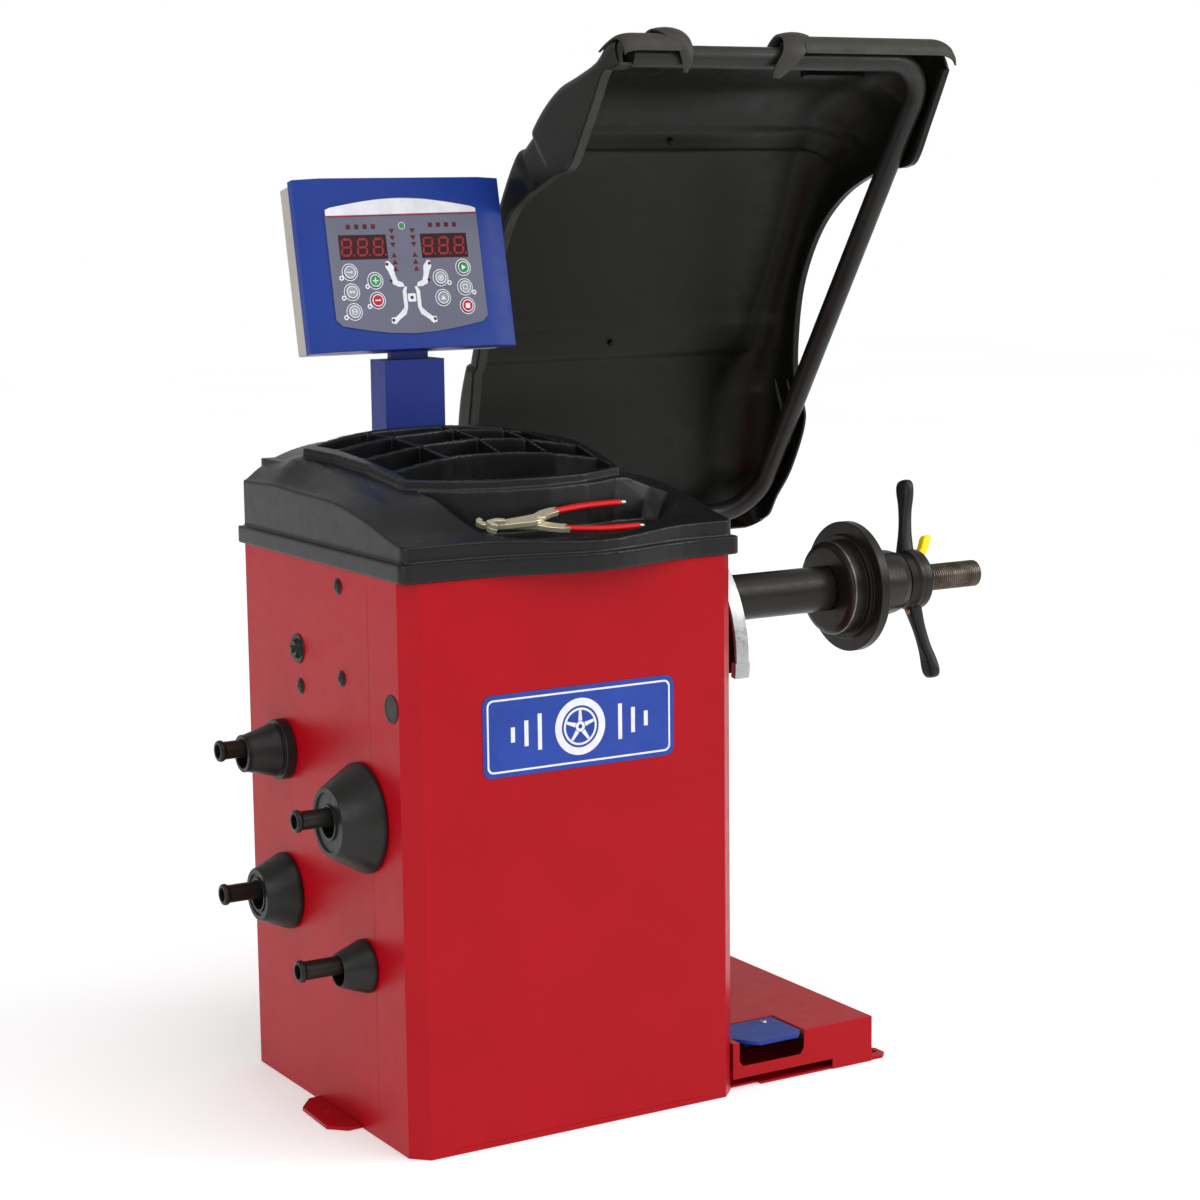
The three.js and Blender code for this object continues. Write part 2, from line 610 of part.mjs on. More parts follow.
// The rim's plan: straight sides, a bowed front and a notch for the column at the back.
function trayPlan(inset) {
  const x = 255 - inset;
  const front = TRAY.front + inset;
  const bow = Array.from({ length: 13 }, (_, i) => {
    const across = TRAY.bowLeft + ((TRAY.bowRight - TRAY.bowLeft) * i) / 12;
    return [across, front - frontBow(across)];
  });
  const back = TRAY.back - inset;
  const notchLeft = COLUMN.left - 3 - inset;
  const notchRight = COLUMN.right + 3 + inset;
  const notchFront = 249.5 - inset;
  return outline([
    ...arcPoints(-x + 12, front + 12, 12, 180, 270, 3),
    ...bow,
    ...arcPoints(x - 12, front + 12, 12, 270, 360, 3),
    [x, back], [notchRight, back], [notchRight, notchFront],
    [notchLeft, notchFront], [notchLeft, back], [-x, back],
  ]);
}

// The raised block of bins: its plan, and the curved walls between its bins as lines of crossing points.
const BLOCK_PLAN = [[-172, -95], [-110, -122], [-48, -131], [24, -133], [86, -127], [154, -102], [163, -72],
  [175, -24], [193, 66], [191, 117], [158, 172], [142, 205], [122, 231], [60, 243], [12, 244], [-55, 238],
  [-114, 212], [-204, 147], [-182, 90], [-170, 11]];
const BIN_LINES = [
  [[-156, -32], [-40, 31], [46, 37], [112, 17], [160, -38]],
  [[-157, 54], [-38, 117], [66, 137], [133, 115], [182, 56]],
  [[-164, 122], [-48, 186], [63, 208], [136, 186], [156, 168]],
  [[-181, 157], [-68, 226], [60, 238], [136, 203]],
];
const CRESCENT_FRONT = [
  [-163, -87], [-110, -114], [-48, -123], [24, -125], [86, -119], [148, -97], [158, -70],
];
// Two low steps beside the block, each as its outer line, its top on the middle line and its greatest height.
const STEPS = [
  {
    line: [[-226, 262], [-222, 128], [-206, 50], [-190, -20], [-174, -95]],
    height: 849,
    slope: 0.08,
    top: 857,
  },
  {
    line: [[-217, 262], [-212, 128], [-195, 57], [-181, -12], [-172, -95]],
    height: 860.5,
    slope: 0.11,
    top: 874,
  },
];
const STEP_BACK = [[-165, -90], [-165, 11], [-177, 90], [-196, 147], [-110, 205], [-60, 232], [-60, 262]];
const BOWL_RIM = [[-152, -140], [-141, -178], [-124, -212], [-94, -240], [-59, -256], [8, -261], [62, -254],
  [118, -236], [164, -206], [200, -166], [219, -126], [200, -108], [146, -112], [86, -132], [24, -138],
  [-48, -136], [-110, -127], [-160, -104]];

function distanceToLine([x, y], [ax, ay], [bx, by]) {
  const along = ((x - ax) * (bx - ax) + (y - ay) * (by - ay)) / ((bx - ax) ** 2 + (by - ay) ** 2);
  const part = THREE.MathUtils.clamp(along, 0, 1);
  return Math.hypot(x - ax - part * (bx - ax), y - ay - part * (by - ay));
}

const distanceToLoop = (point, loop) =>
  Math.min(...loop.map((corner, i) => distanceToLine(point, corner, loop[(i + 1) % loop.length])));

// The deck rises from its edges to the foot of the block, and from front to back; it stays low beside
// the hood, and its front edge dips a little over the bow.
function deckHeight(x, y) {
  const { halfWidth, frontHeight, rise, riseDepth } = DECK;
  const depth = THREE.MathUtils.clamp((y + riseDepth) / riseDepth, 0, 1);
  const dip = 0.15 * frontBow(x) * THREE.MathUtils.smoothstep(-y, 235, 285);
  const edge = frontHeight + rise * Math.sin((Math.PI / 2) * depth) ** 1.5 - dip;
  const foot = BLOCK.height - BLOCK.proud + BLOCK.slope * Math.max(y, -130);
  const toEdge = Math.max(0, Math.min(halfWidth - Math.abs(x), y - TRAY.front + frontBow(x)));
  const toBlock = distanceToLoop([x, y], BLOCK_PLAN);
  const part = toEdge / (toEdge + toBlock + 0.01);
  const hoodSide = 1 - 0.6 * THREE.MathUtils.smoothstep(x, 150, 215);
  const besideBowl = 0.08 + 0.92 * THREE.MathUtils.smoothstep(y, -235, -125);
  return edge + (foot - edge) * (1 - (1 - part) ** 2) * hoodSide * besideBowl;
}

// A closed solid from a flat bottom up to a height that varies over a grid.
function heightSolid([x0, x1], [y0, y1], step, bottom, heightAt) {
  const columns = Math.ceil((x1 - x0) / step);
  const rows = Math.ceil((y1 - y0) / step);
  const places = [];
  for (let j = 0; j <= rows; j += 1) {
    const y = y0 + ((y1 - y0) * j) / rows;
    for (let i = 0; i <= columns; i += 1) places.push([x0 + ((x1 - x0) * i) / columns, y]);
  }
  const top = places.flatMap(([x, y]) => [x, y, heightAt(x, y)]);
  const base = places.flatMap(([x, y]) => [x, y, bottom]);
  const index = [];
  const at = (i, j) => j * (columns + 1) + i;
  const under = places.length;
  const quad = (a, b, c, d) => index.push(a, b, c, a, c, d);
  for (let j = 0; j < rows; j += 1) {
    for (let i = 0; i < columns; i += 1) {
      quad(at(i, j), at(i + 1, j), at(i + 1, j + 1), at(i, j + 1));
      quad(under + at(i, j), under + at(i, j + 1), under + at(i + 1, j + 1), under + at(i + 1, j));
    }
  }
  for (let i = 0; i < columns; i += 1) {
    quad(under + at(i, 0), under + at(i + 1, 0), at(i + 1, 0), at(i, 0));
    quad(under + at(i + 1, rows), under + at(i, rows), at(i, rows), at(i + 1, rows));
  }
  for (let j = 0; j < rows; j += 1) {
    quad(under + at(0, j + 1), under + at(0, j), at(0, j), at(0, j + 1));
    quad(under + at(columns, j), under + at(columns, j + 1), at(columns, j + 1), at(columns, j));
  }
  const geometry = new THREE.BufferGeometry();
  geometry.setAttribute("position", new THREE.Float32BufferAttribute([...top, ...base], 3));
  geometry.setIndex(index);
  return geometry;
}

// A closed loop moved inwards by a distance; the loop runs anticlockwise.
function insetLoop(points, distance) {
  return points.map((point, i) => {
    const here = new THREE.Vector2(...point);
    const before = here.clone().sub(new THREE.Vector2(...points.at(i - 1))).normalize();
    const after = new THREE.Vector2(...points[(i + 1) % points.length]).sub(here).normalize();
    const side = new THREE.Vector2(-before.y - after.y, before.x + after.x).normalize();
    const stretch = distance / Math.max(side.dot(new THREE.Vector2(-before.y, before.x)), 0.4);
    return [here.x + side.x * stretch, here.y + side.y * stretch];
  });
}

// Points along a smooth line from one of its crossings to another.
function alongBinLine(line, from, to, steps = 4) {
  const curve = new THREE.SplineCurve(line.map(([x, y]) => new THREE.Vector2(x, y)));
  return Array.from({ length: steps + 1 }, (_, i) => {
    const place = curve.getPoint((from + ((to - from) * i) / steps) / (line.length - 1));
    return [place.x, place.y];
  });
}

function binCutters() {
  const bins = [];
  for (let row = 0; row < BIN_LINES.length - 1; row += 1) {
    const [near, far] = [BIN_LINES[row], BIN_LINES[row + 1]];
    for (let column = 0; column < far.length - 1; column += 1) {
      const loop = [...alongBinLine(near, column, column + 1), ...alongBinLine(far, column + 1, column)];
      bins.push(extrude("z", outline(insetLoop(loop, BLOCK.wall / 2)), BLOCK.binFloor, 950));
    }
  }
  const crescent = [...CRESCENT_FRONT, ...alongBinLine(BIN_LINES[0], 4, 0, 14)];
  bins.push(extrude("z", outline(insetLoop(crescent, BLOCK.wall / 2)), BLOCK.crescentFloor, 950));
  return bins;
}

// The bowl's cutter: straight down to the deck, then inwards in two slopes to the floor.
function bowlCutter() {
  const towards = (part, heightAt) => BOWL_RIM.map(([x, y]) =>
    [x + (BOWL.x - x) * part, y + (BOWL.y - y) * part, heightAt(x, y)]);
  const levels = [
    towards(0, () => 960),
    towards(0, (x, y) => deckHeight(x, y) - 0.5),
    towards(0.06, (x, y) => BOWL.floor + (deckHeight(x, y) - BOWL.floor) * 0.6),
    towards(0.12, () => BOWL.floor),
  ];
  const count = BOWL_RIM.length;
  const index = [];
  for (let level = 0; level < levels.length - 1; level += 1) {
    for (let i = 0; i < count; i += 1) {
      const next = (i + 1) % count;
      const [a, b] = [level * count + i, level * count + next];
      index.push(a + count, b + count, b, a + count, b, a);
    }
  }
  const caps = THREE.ShapeUtils.triangulateShape(BOWL_RIM.map(([x, y]) => new THREE.Vector2(x, y)), []);
  const last = (levels.length - 1) * count;
  for (const [a, b, c] of caps) index.push(a, b, c, last + a, last + c, last + b);
  const geometry = new THREE.BufferGeometry();
  geometry.setAttribute("position", new THREE.Float32BufferAttribute(levels.flat(2), 3));
  geometry.setIndex(index);
  return geometry;
}

// Everything under a plane that is at height on the middle line and rises to the back.
function belowPlane(height, slope) {
  const [halfDepth, halfWidth, bottom] = [400, 300, 700];
  const rise = halfDepth * slope;
  const side = outline([[-halfDepth, bottom], [halfDepth, bottom], [halfDepth, height + rise],
    [-halfDepth, height - rise]]);
  return extrude("x", side, -halfWidth, halfWidth);
}

function weightTray() {
  const { bottom, rimTop } = TRAY;
  const { halfWidth, halfDepth, roof } = HOLLOW;
  const deck = heightSolid([-256, 256], [-292, 268], DECK.step, rimTop - 1, deckHeight);
  return cut(
    join(
      extrude("z", trayPlan(0), bottom, rimTop),
      common(extrude("z", trayPlan(7), rimTop - 1, 900), deck),
      common(extrude("z", outline(BLOCK_PLAN), 790, 950), belowPlane(BLOCK.height, BLOCK.slope)),
      ...STEPS.map(({ line, height, slope, top }) =>
        common(extrude("z", outline([...line, ...STEP_BACK]), 790, top), belowPlane(height, slope))),
    ),
    bowlCutter(),
    ...binCutters(),
    box(-halfWidth, halfWidth, -halfDepth, halfDepth, bottom - 5, roof),
    box(...HOLLOW.underBlock, bottom - 5, HOLLOW.blockRoof),
  );
}

add("weight_tray", weightTray(), MATERIAL.blackPlastic);

// ---------------------------------------------------------------- wheel-weight pliers

// The pliers lean on the back of the bowl: they are built flat on axes of their own.
const leaning = new THREE.Group();
leaning.position.set(PLIERS.x, PLIERS.y, PLIERS.z);
leaning.rotation.x = radians(PLIERS.tilt);
machine.add(leaning);

// One lever seen from above: a hooked jaw to the left, a slim grip to the right.
function pliersLever(side, z) {
  const plan = outline([[-84, 4], [-88, 20], [-78, 26], [-66, 14], [-40, 12], [-10, 10], [30, -12], [80, -21],
    [140, -22], [146, -27], [140, -32], [78, -31], [24, -24], [-14, -10], [-50, -2], [-74, 2]]
    .map(([a, b]) => [a, side * b]));
  return extrude("z", plan, z, z + PLIERS.thickness);
}

const pliersLower = () => join(pliersLever(1, 0), rod("z", 1, 2 * PLIERS.thickness + 2, 5, 0, 0, 16));

const pliersUpper = () => cut(pliersLever(-1, PLIERS.thickness + GAP), rod("z", 0, 30, 5.4, 0, 0, 16));

add("pliers_lower", pliersLower(), MATERIAL.redGrip, leaning);
add("pliers_upper", pliersUpper(), MATERIAL.redGrip, leaning);

// ---------------------------------------------------------------- column and display head

function displayColumn() {
  const { left, right, front, back, bottom, top, wall } = COLUMN;
  return cut(
    join(
      box(left, right, front, back, bottom, top),
      box(left - 20, right + 20, CABINET.halfDepth + GAP, front + 0.5, bottom, 745),
      box(left + 18, right - 18, 268, 280, top - 1, top + 45),
    ),
    box(left + wall, right - wall, front + wall, back - wall, bottom - 5, top - wall),
  );
}

add("display_column", displayColumn(), MATERIAL.bluePaint);

// The head is built upright on its own axes, X across, Y up the face, Z out of it, then leaned back.
const head = new THREE.Group();
head.position.set(HEAD.x, HEAD.y, HEAD.z);
head.rotation.x = radians(90 - HEAD.leanDegrees);
machine.add(head);

const KEY_PLACES = {
  key_wheel_distance: [-96.9, 113], key_wheel_width: [-96.9, 84.4], key_wheel_diameter: [-96.3, 56],
  key_plus: [-58.1, 99.8], key_minus: [-57.7, 71.3],
  key_mode: [47.2, 101.4], key_function: [47.7, 72.2],
  key_start: [85.9, 115.6], key_calibrate: [85.5, 86.8], key_stop: [86.2, 59.3],
};
const LED_PLACES = { led_window_left: [-109, -33.3], led_window_right: [21.4, 97] };
const LED_BAND = { bottom: 130.8, top: 166.3 };

function displayFront() {
  const { halfWidth, height } = HEAD;
  const section = outline([[-halfWidth, -26], [halfWidth, -26], [halfWidth, -10], [halfWidth - 38, 0],
    [-halfWidth + 38, 0], [-halfWidth, -10]]);
  const pocket = outline([[-halfWidth + 3, -30], [halfWidth - 3, -30], [halfWidth - 3, -12],
    [halfWidth - 39, -3], [-halfWidth + 39, -3], [-halfWidth + 3, -12]]);
  const upright = (shape, from, to) =>
    new THREE.ExtrudeGeometry(shape, { depth: to - from, bevelEnabled: false })
      .applyMatrix4(new THREE.Matrix4().makeBasis(
        new THREE.Vector3(1, 0, 0), new THREE.Vector3(0, 0, 1), new THREE.Vector3(0, -1, 0)))
      .translate(0, to, 0);
  return cut(
    upright(section, 0, height),
    upright(pocket, 3, height - 3),
    box(-112, 110, 40, 186, -5, 1),
  );
}

function displayBack() {
  const { halfWidth, height } = HEAD;
  const outer = halfWidth - 6;
  return cut(
    box(-outer, outer, 4, height - 4, -66, -26 - GAP),
    box(-outer + 2.5, outer - 2.5, 6.5, height - 6.5, -63.5, -20),
    box(-45, 50, -5, 10, -62, -20),
  );
}

function fasciaPlate() {
  const { left, right, bottom, top, bow, corner, thickness } = FASCIA;
  const bowed = (y, rise, from, to) => Array.from({ length: 7 }, (_, i) => {
    const part = i / 6;
    return [from + (to - from) * part, y + rise * Math.sin(Math.PI * part)];
  });
  const shape = outline([
    ...bowed(bottom + bow, -bow, left + corner, right - corner),
    [right, bottom + bow + corner], [right, top - bow - corner],
    ...bowed(top - bow, bow, right - corner, left + corner),
    [left, top - bow - corner], [left, bottom + bow + corner],
  ]);
  const keyHoles = Object.values(KEY_PLACES).map(([x, y]) => rod("z", -1, 5, KEY_RADIUS + 2 * GAP, x, y, 12));
  const windowHoles = Object.values(LED_PLACES).map(([left, right]) =>
    box(left, right, LED_BAND.bottom, LED_BAND.top, -1, 5));
  return cut(extrude("z", shape, GAP, GAP + thickness), ...keyHoles, ...windowHoles);
}

const ledWindow = ([left, right]) =>
  box(left + GAP, right - GAP, LED_BAND.bottom + GAP, LED_BAND.top - GAP, -4, GAP + FASCIA.thickness - 0.4);

// The board behind the fascia, with one switch under each key.
function controlBoard() {
  const switches = Object.values(KEY_PLACES).map(([x, y]) => box(x - 3, x + 3, y - 3, y + 3, -13, -5.9));
  return join(box(-115, 115, 40, 190, -14, -12.4), ...switches);
}

const keyCap = ([x, y]) =>
  turned("z", [[-5, 0], [-5, KEY_RADIUS + 1.2], [-1, KEY_RADIUS + 1.2], [-1, KEY_RADIUS], [3.4, KEY_RADIUS],
    [3.4, 0]], x, y, 12);

add("display_front", displayFront(), MATERIAL.bluePaint, head);
add("display_back", displayBack(), MATERIAL.greyPaint, head);
add("fascia_plate", fasciaPlate(), MATERIAL.fascia, head);
add("control_board", controlBoard(), MATERIAL.board, head);
for (const [name, place] of Object.entries(LED_PLACES)) add(name, ledWindow(place), MATERIAL.ledGlass, head);
for (const [name, place] of Object.entries(KEY_PLACES)) add(name, keyCap(place), MATERIAL.keyPlastic, head);

// ---------------------------------------------------------------- wheel hood

// The outside of the roof seen from the side, from the front lip over the back to the bottom.
const HOOD_ROOF = [
  [-17, 1450], [10, 1444], [43, 1418], [98, 1400], [147, 1386], [191, 1360], [227, 1329], [276, 1291],
  [330, 1215], [385, 1110], [432, 997], [461, 925], [474, 860], [486, 790], [493, 735], [490, 705],
  [473, 683],
];
const HOOD_FRONT = [[433, 707], [326, 866], [348, 928]];

function hoodShell() {
  const { left, right, wall } = HOOD;
  const inside = offsetLine(HOOD_ROOF, -wall);
  const cutout = circle(HOOD_CUTOUT.y, HOOD_CUTOUT.z, HOOD_CUTOUT.radius, 48);
  const section = outline([...HOOD_ROOF, ...HOOD_FRONT, [100, 1230], [40, 1279], [-34, 1410], [-34, 1446]]);
  const hollow = outline([...inside, [420, 600], [-400, 900], [-400, 1500], inside[0]].slice(0, -1));
  const leftOpening = outline([[14, 1404], [64, 1333], [111, 1272], [168, 1262], [283, 1211], [345, 1110],
    [398, 990], [420, 900], [436, 800], [440, 640], [-400, 640], [-400, 1404]]);
  const earSide = outline([
    [60, 1470], [28, 1476], [-30, 1442], [-44, 1420], [-40, 1396], [-10, 1386], [40, 1400], [70, 1430],
  ]);
  const ear = (x) => extrude("x", earSide, x, x + 5);
  const tubeHole = (x0, x1, y, z) => rod("x", x0, x1, HOOD_TUBE.radius + 0.6, y, z, 16);
  const gripRelief = box(327, 500, -60, 30, 1405, 1480);
  return cut(
    join(
      cut(
        extrude("x", section, left, right),
        extrude("x", hollow, left + wall, right - wall),
        extrude("x", leftOpening, left - 5, left + wall + 1),
        extrude("x", cutout, right - wall - 5, right + 5),
        gripRelief,
      ),
      ear(322),
      ear(500),
    ),
    tubeHole(300, 520, HOOD_TUBE.topY, HOOD_TUBE.topZ),
    tubeHole(left - 5, left + wall + 2, HOOD.pivotY, HOOD.pivotZ),
  );
}

function hoodFrame() {
  const { radius, bore, topY, topZ, armX, start, end } = HOOD_TUBE;
  const corners = [[start, HOOD.pivotY, HOOD.pivotZ], [armX, HOOD.pivotY, HOOD.pivotZ], [armX, topY, topZ],
    [end, topY, topZ]].map((corner) => new THREE.Vector3(...corner));
  return tubeAlong(bentRoute(corners, 75, 5), radius, 12, bore);
}

function hoodBracket() {
  const face = CABINET.halfDepth + GAP;
  const { pivotY, pivotZ } = HOOD;
  const cheek = outline([[face + 3, 640], [face + 3, 745], [pivotY - 10, pivotZ + 24],
    ...arcPoints(pivotY, pivotZ, 24, 60, -90, 6), [face + 60, 655]]);
  return cut(
    join(
      box(96, 240, face, face + 5, 640, 745),
      extrude("x", cheek, 102, 108),
      extrude("x", cheek, 192, 198),
      rod("x", 102, 198, 24, pivotY, pivotZ, 24),
    ),
    rod("x", 90, 210, HOOD_TUBE.radius + 0.6, pivotY, pivotZ, 20),
  );
}

add("hood_shell", hoodShell(), MATERIAL.hoodPlastic);
add("hood_frame", hoodFrame(), MATERIAL.hoodPlastic);
add("hood_bracket", hoodBracket(), MATERIAL.blackSteel);

// ---------------------------------------------------------------- rim gauge

const gaugeGuide = () =>
  turned("x", [[200, GAUGE.rodRadius + 0.4], [200, 13], [251.5, 13], [251.5, 22], [258, 22],
    [258, 13], [264, 13], [264, GAUGE.rodRadius + 0.4]], GAUGE.rodY, GAUGE.rodZ, 20);

function gaugeRod() {
  const { rodY, rodZ, rodRadius, armStart, armEnd } = GAUGE;
  return turned("x", [[-30, 0], [-30, rodRadius], [armStart - 0.5, rodRadius], [armStart - 0.5, 6],
    [armEnd + 0.5, 6], [armEnd + 0.5, 9], [armEnd + 4, 9], [armEnd + 4, 0]], rodY, rodZ, 20);
}

function gaugeArm() {
  const { rodY, rodZ, armStart, armEnd } = GAUGE;
  const { y, z, inner, outer, startDegrees, endDegrees } = GAUGE_ARC;
  return cut(
    join(
      extrude("x", ringSector(y, z, inner, outer, startDegrees, endDegrees, 16), armStart + 3, armEnd - 3),
      extrude("x", ringSector(y, z, outer - 6, outer, startDegrees, endDegrees, 16), armStart, armEnd),
      extrude("x", ringSector(y, z, inner, outer, 181.5, endDegrees, 2), armStart - 2, armEnd + 2),
      rod("x", armStart, armEnd, 14, rodY, rodZ, 20),
    ),
    rod("x", armStart - 5, armEnd + 5, 6.5, rodY, rodZ, 20),
  );
}

add("gauge_guide", gaugeGuide(), MATERIAL.blackPlastic);
add("gauge_rod", gaugeRod(), MATERIAL.brightSteel);
add("gauge_arm", gaugeArm(), MATERIAL.blackPlastic);

// ---------------------------------------------------------------- tool pegs and centring cones

function toolPeg([y, z]) {
  const start = -CABINET.halfWidth - GAP;
  const end = start - PEG.length;
  const { radius, bore, beadRadius } = PEG;
  return turned("x", [[start, 0], [start, radius], [end + 8, radius], [end + 7, beadRadius],
    [end, beadRadius - 2], [end, bore], [start - 6, bore], [start - 6, 0]], y, z, 16);
}

// Cone profiles as [distance from the panel, outer radius], large end first.
const CONES = [
  { peg: [131, 490], profile: [[0, 42], [14, 42], [14, 35], [18, 37], [57, 26], [64, 26]] },
  { peg: [-116, 440.7], profile: [[0, 73.5], [6, 73.5], [52, 46]] },
  { peg: [132, 288], profile: [[0, 53.5], [6, 53.5], [47, 36]] },
  { peg: [-114, 239.5], profile: [[0, 36], [5, 36], [42, 22]] },
];

function centringCone({ peg: [y, z], profile }) {
  const outside = profile.map(([along, radius]) => [CONE.start - along, radius]);
  const end = outside.at(-1)[0];
  return turned("x", [[CONE.start, CONE.bore], ...outside, [end, CONE.bore]], y, z - CONE.drop, 24);
}

CONES.forEach((cone, i) => {
  add(`tool_peg_${i + 1}`, toolPeg(cone.peg), MATERIAL.blackPlastic);
  add(`centring_cone_${i + 1}`, centringCone(cone), MATERIAL.blackSteel);
});

export default machine;
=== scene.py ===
import math

import bmesh
import bpy
from mathutils import Matrix, Vector
from mathutils.geometry import tessellate_polygon


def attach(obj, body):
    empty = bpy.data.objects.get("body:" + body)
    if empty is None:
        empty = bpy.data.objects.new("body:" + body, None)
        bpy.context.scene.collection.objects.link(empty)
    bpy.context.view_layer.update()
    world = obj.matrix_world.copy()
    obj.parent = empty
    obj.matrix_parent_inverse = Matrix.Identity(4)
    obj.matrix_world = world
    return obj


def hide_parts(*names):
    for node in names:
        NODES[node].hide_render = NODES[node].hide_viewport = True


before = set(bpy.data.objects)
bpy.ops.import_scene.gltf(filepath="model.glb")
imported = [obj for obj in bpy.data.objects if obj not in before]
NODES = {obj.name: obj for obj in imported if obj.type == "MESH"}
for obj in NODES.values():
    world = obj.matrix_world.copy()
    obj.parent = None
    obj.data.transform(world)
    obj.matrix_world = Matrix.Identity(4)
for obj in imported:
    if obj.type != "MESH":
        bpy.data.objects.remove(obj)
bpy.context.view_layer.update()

MM = 0.001
TAU = math.tau

# ---------------- dimensions, in millimetres

# The shaft and the gauge rod run along x; each has the y and z of its axis.
SHAFT = (-45, 660)
GAUGE_ROD = (-116.5, 734)
THREAD = {"root": 18.3, "crest": 20, "pitch": 4, "start": 592, "end": 820}
FLANGE_HOLE = {"radius": 83, "turn": 205}
NUT_BORE = 20.3
NUT_TURN = -14
HEAD = {"x": 25, "y": 238, "z": 1019.5, "lean": 11.7}
FILM_TOP = 1.8
PANEL_X = -251.3
SIDE_FACE = -251.0
BADGE_FACE = -247.0
CAMERA = {"azimuth": -30.805, "elevation": 8.742, "roll": -0.656, "lens": 80.94,
          "place": (-1751.0, -3242.2, 1249.2)}

# ---------------- shapes: each is (points, faces)


def lathe(profile, centre, axis="x", segments=96, closed=False):
    """A profile of (along, radius) turned round an axis through centre."""
    points = []
    for along, radius in profile:
        for i in range(segments):
            u = centre[0] + radius * math.cos(TAU * i / segments)
            v = centre[1] + radius * math.sin(TAU * i / segments)
            points.append({"x": (along, u, v), "y": (u, along, v), "z": (u, v, along)}[axis])
    rows = len(profile)
    faces = []
    for row in range(rows if closed else rows - 1):
        a, b = row * segments, (row + 1) % rows * segments
        for i in range(segments):
            j = (i + 1) % segments
            faces.append((a + i, a + j, b + j, b + i))
    return points, faces


def prism(loops, low, high, place):
    """Flat loops, the outline first and then its holes, from one height to another."""
    flat = [p for loop in loops for p in loop]
    count = len(flat)
    points = [place(u, v, low) for u, v in flat] + [place(u, v, high) for u, v in flat]
    caps = tessellate_polygon([[Vector((u, v, 0)) for u, v in loop] for loop in loops])
    faces = [tuple(c) for c in caps] + [tuple(count + i for i in reversed(c)) for c in caps]
    start = 0
    for loop in loops:
        for i in range(len(loop)):
            a, b = start + i, start + (i + 1) % len(loop)
            faces.append((a, b, b + count, a + count))
        start += len(loop)
    return points, faces


def loft(sections):
    """A solid through loops with the same number of points."""
    count = len(sections[0])
    points = [p for section in sections for p in section]
    faces = [tuple(range(count)), tuple(len(points) - count + i for i in reversed(range(count)))]
    for row in range(len(sections) - 1):
        a = row * count
        for i in range(count):
            j = (i + 1) % count
            faces.append((a + i, a + j, a + count + j, a + count + i))
    return points, faces


def tube(path, radius, segments=24):
    """A round bar along a path; radius is a number or one number for each point."""
    path = [Vector(p) for p in path]
    radii = radius if isinstance(radius, list) else [radius] * len(path)
    side = None
    sections = []
    for i, here in enumerate(path):
        ahead = (path[min(i + 1, len(path) - 1)] - path[max(i - 1, 0)]).normalized()
        side = ahead.orthogonal() if side is None else side - ahead * side.dot(ahead)
        side.normalize()
        other = ahead.cross(side)
        sections.append([here + radii[i] * (side * math.cos(TAU * k / segments)
                                            + other * math.sin(TAU * k / segments))
                         for k in range(segments)])
    return loft(sections)


def sheet(rows, thickness):
    """A grid of points given a thickness along its own normals."""
    height, width = len(rows), len(rows[0])
    outer = [Vector(p) for row in rows for p in row]
    inner = []
    for r in range(height):
        for c in range(width):
            down = outer[min(r + 1, height - 1) * width + c] - outer[max(r - 1, 0) * width + c]
            across = outer[r * width + min(c + 1, width - 1)] - outer[r * width + max(c - 1, 0)]
            inner.append(outer[r * width + c] + across.cross(down).normalized() * thickness)
    count = height * width
    faces = []
    for r in range(height - 1):
        for c in range(width - 1):
            a = r * width + c
            faces.append((a, a + 1, a + width + 1, a + width))
            faces.append((count + a, count + a + width, count + a + width + 1, count + a + 1))
    rim = ([c for c in range(width)] + [r * width + width - 1 for r in range(1, height)]
           + [(height - 1) * width + c for c in reversed(range(width - 1))]
           + [r * width for r in reversed(range(1, height - 1))])
    for a, b in zip(rim, rim[1:] + rim[:1]):
        faces.append((a, b, count + b, count + a))
    return outer + inner, faces


def block(low, high, place=lambda x, y, z: (x, y, z)):
    return prism([[(low[0], low[1]), (high[0], low[1]), (high[0], high[1]), (low[0], high[1])]],
                 low[2], high[2], place)


def on_x(u, v, w):
    return w, u, v


def on_y(u, v, w):
    return u, w, v


def on_z(u, v, w):
    return u, v, w


def on_head(u, v, w):
    """From the display's own axes, u across, v up its face and w out of it."""
    lean = math.radians(90 - HEAD["lean"])
    return (HEAD["x"] + u, HEAD["y"] + v * math.cos(lean) - w * math.sin(lean),
            HEAD["z"] + v * math.sin(lean) + w * math.cos(lean))


def circle(x, y, radius, count=24):
    return [(x + radius * math.cos(TAU * i / count), y + radius * math.sin(TAU * i / count))
            for i in range(count)]


def arc(x, y, radius, start, end, steps):
    angles = [math.radians(start + (end - start) * i / steps) for i in range(steps + 1)]
    return [(x + radius * math.cos(a), y + radius * math.sin(a)) for a in angles]


def rounded(left, right, bottom, top, radius, steps=6):
    """A rectangle with round corners."""
    corners = [(right, bottom, -90), (right, top, 0), (left, top, 90), (left, bottom, 180)]
    points = []
    for x, y, start in corners:
        cx = x - radius if x == right else x + radius
        cy = y - radius if y == top else y + radius
        points += arc(cx, cy, radius, start, start + 90, steps)
    return points


def blend(a, b, c, d, t):
    """A smooth line through four values, at t of the way from the second to the third."""
    return 0.5 * (2 * b + (c - a) * t + (2 * a - 5 * b + 4 * c - d) * t * t
                  + (3 * b - a - 3 * c + d) * t ** 3)


def spline(values, samples):
    """Points along a smooth line through values, evenly spaced from value to value."""
    values = [Vector(v) for v in values]
    values = [values[0] * 2 - values[1], *values, values[-1] * 2 - values[-2]]
    points = []
    for i in range(samples + 1):
        place = i / samples * (len(values) - 3)
        k = min(int(place), len(values) - 4)
        points.append(blend(*values[k:k + 4], place - k))
    return points


# ---------------- pieces


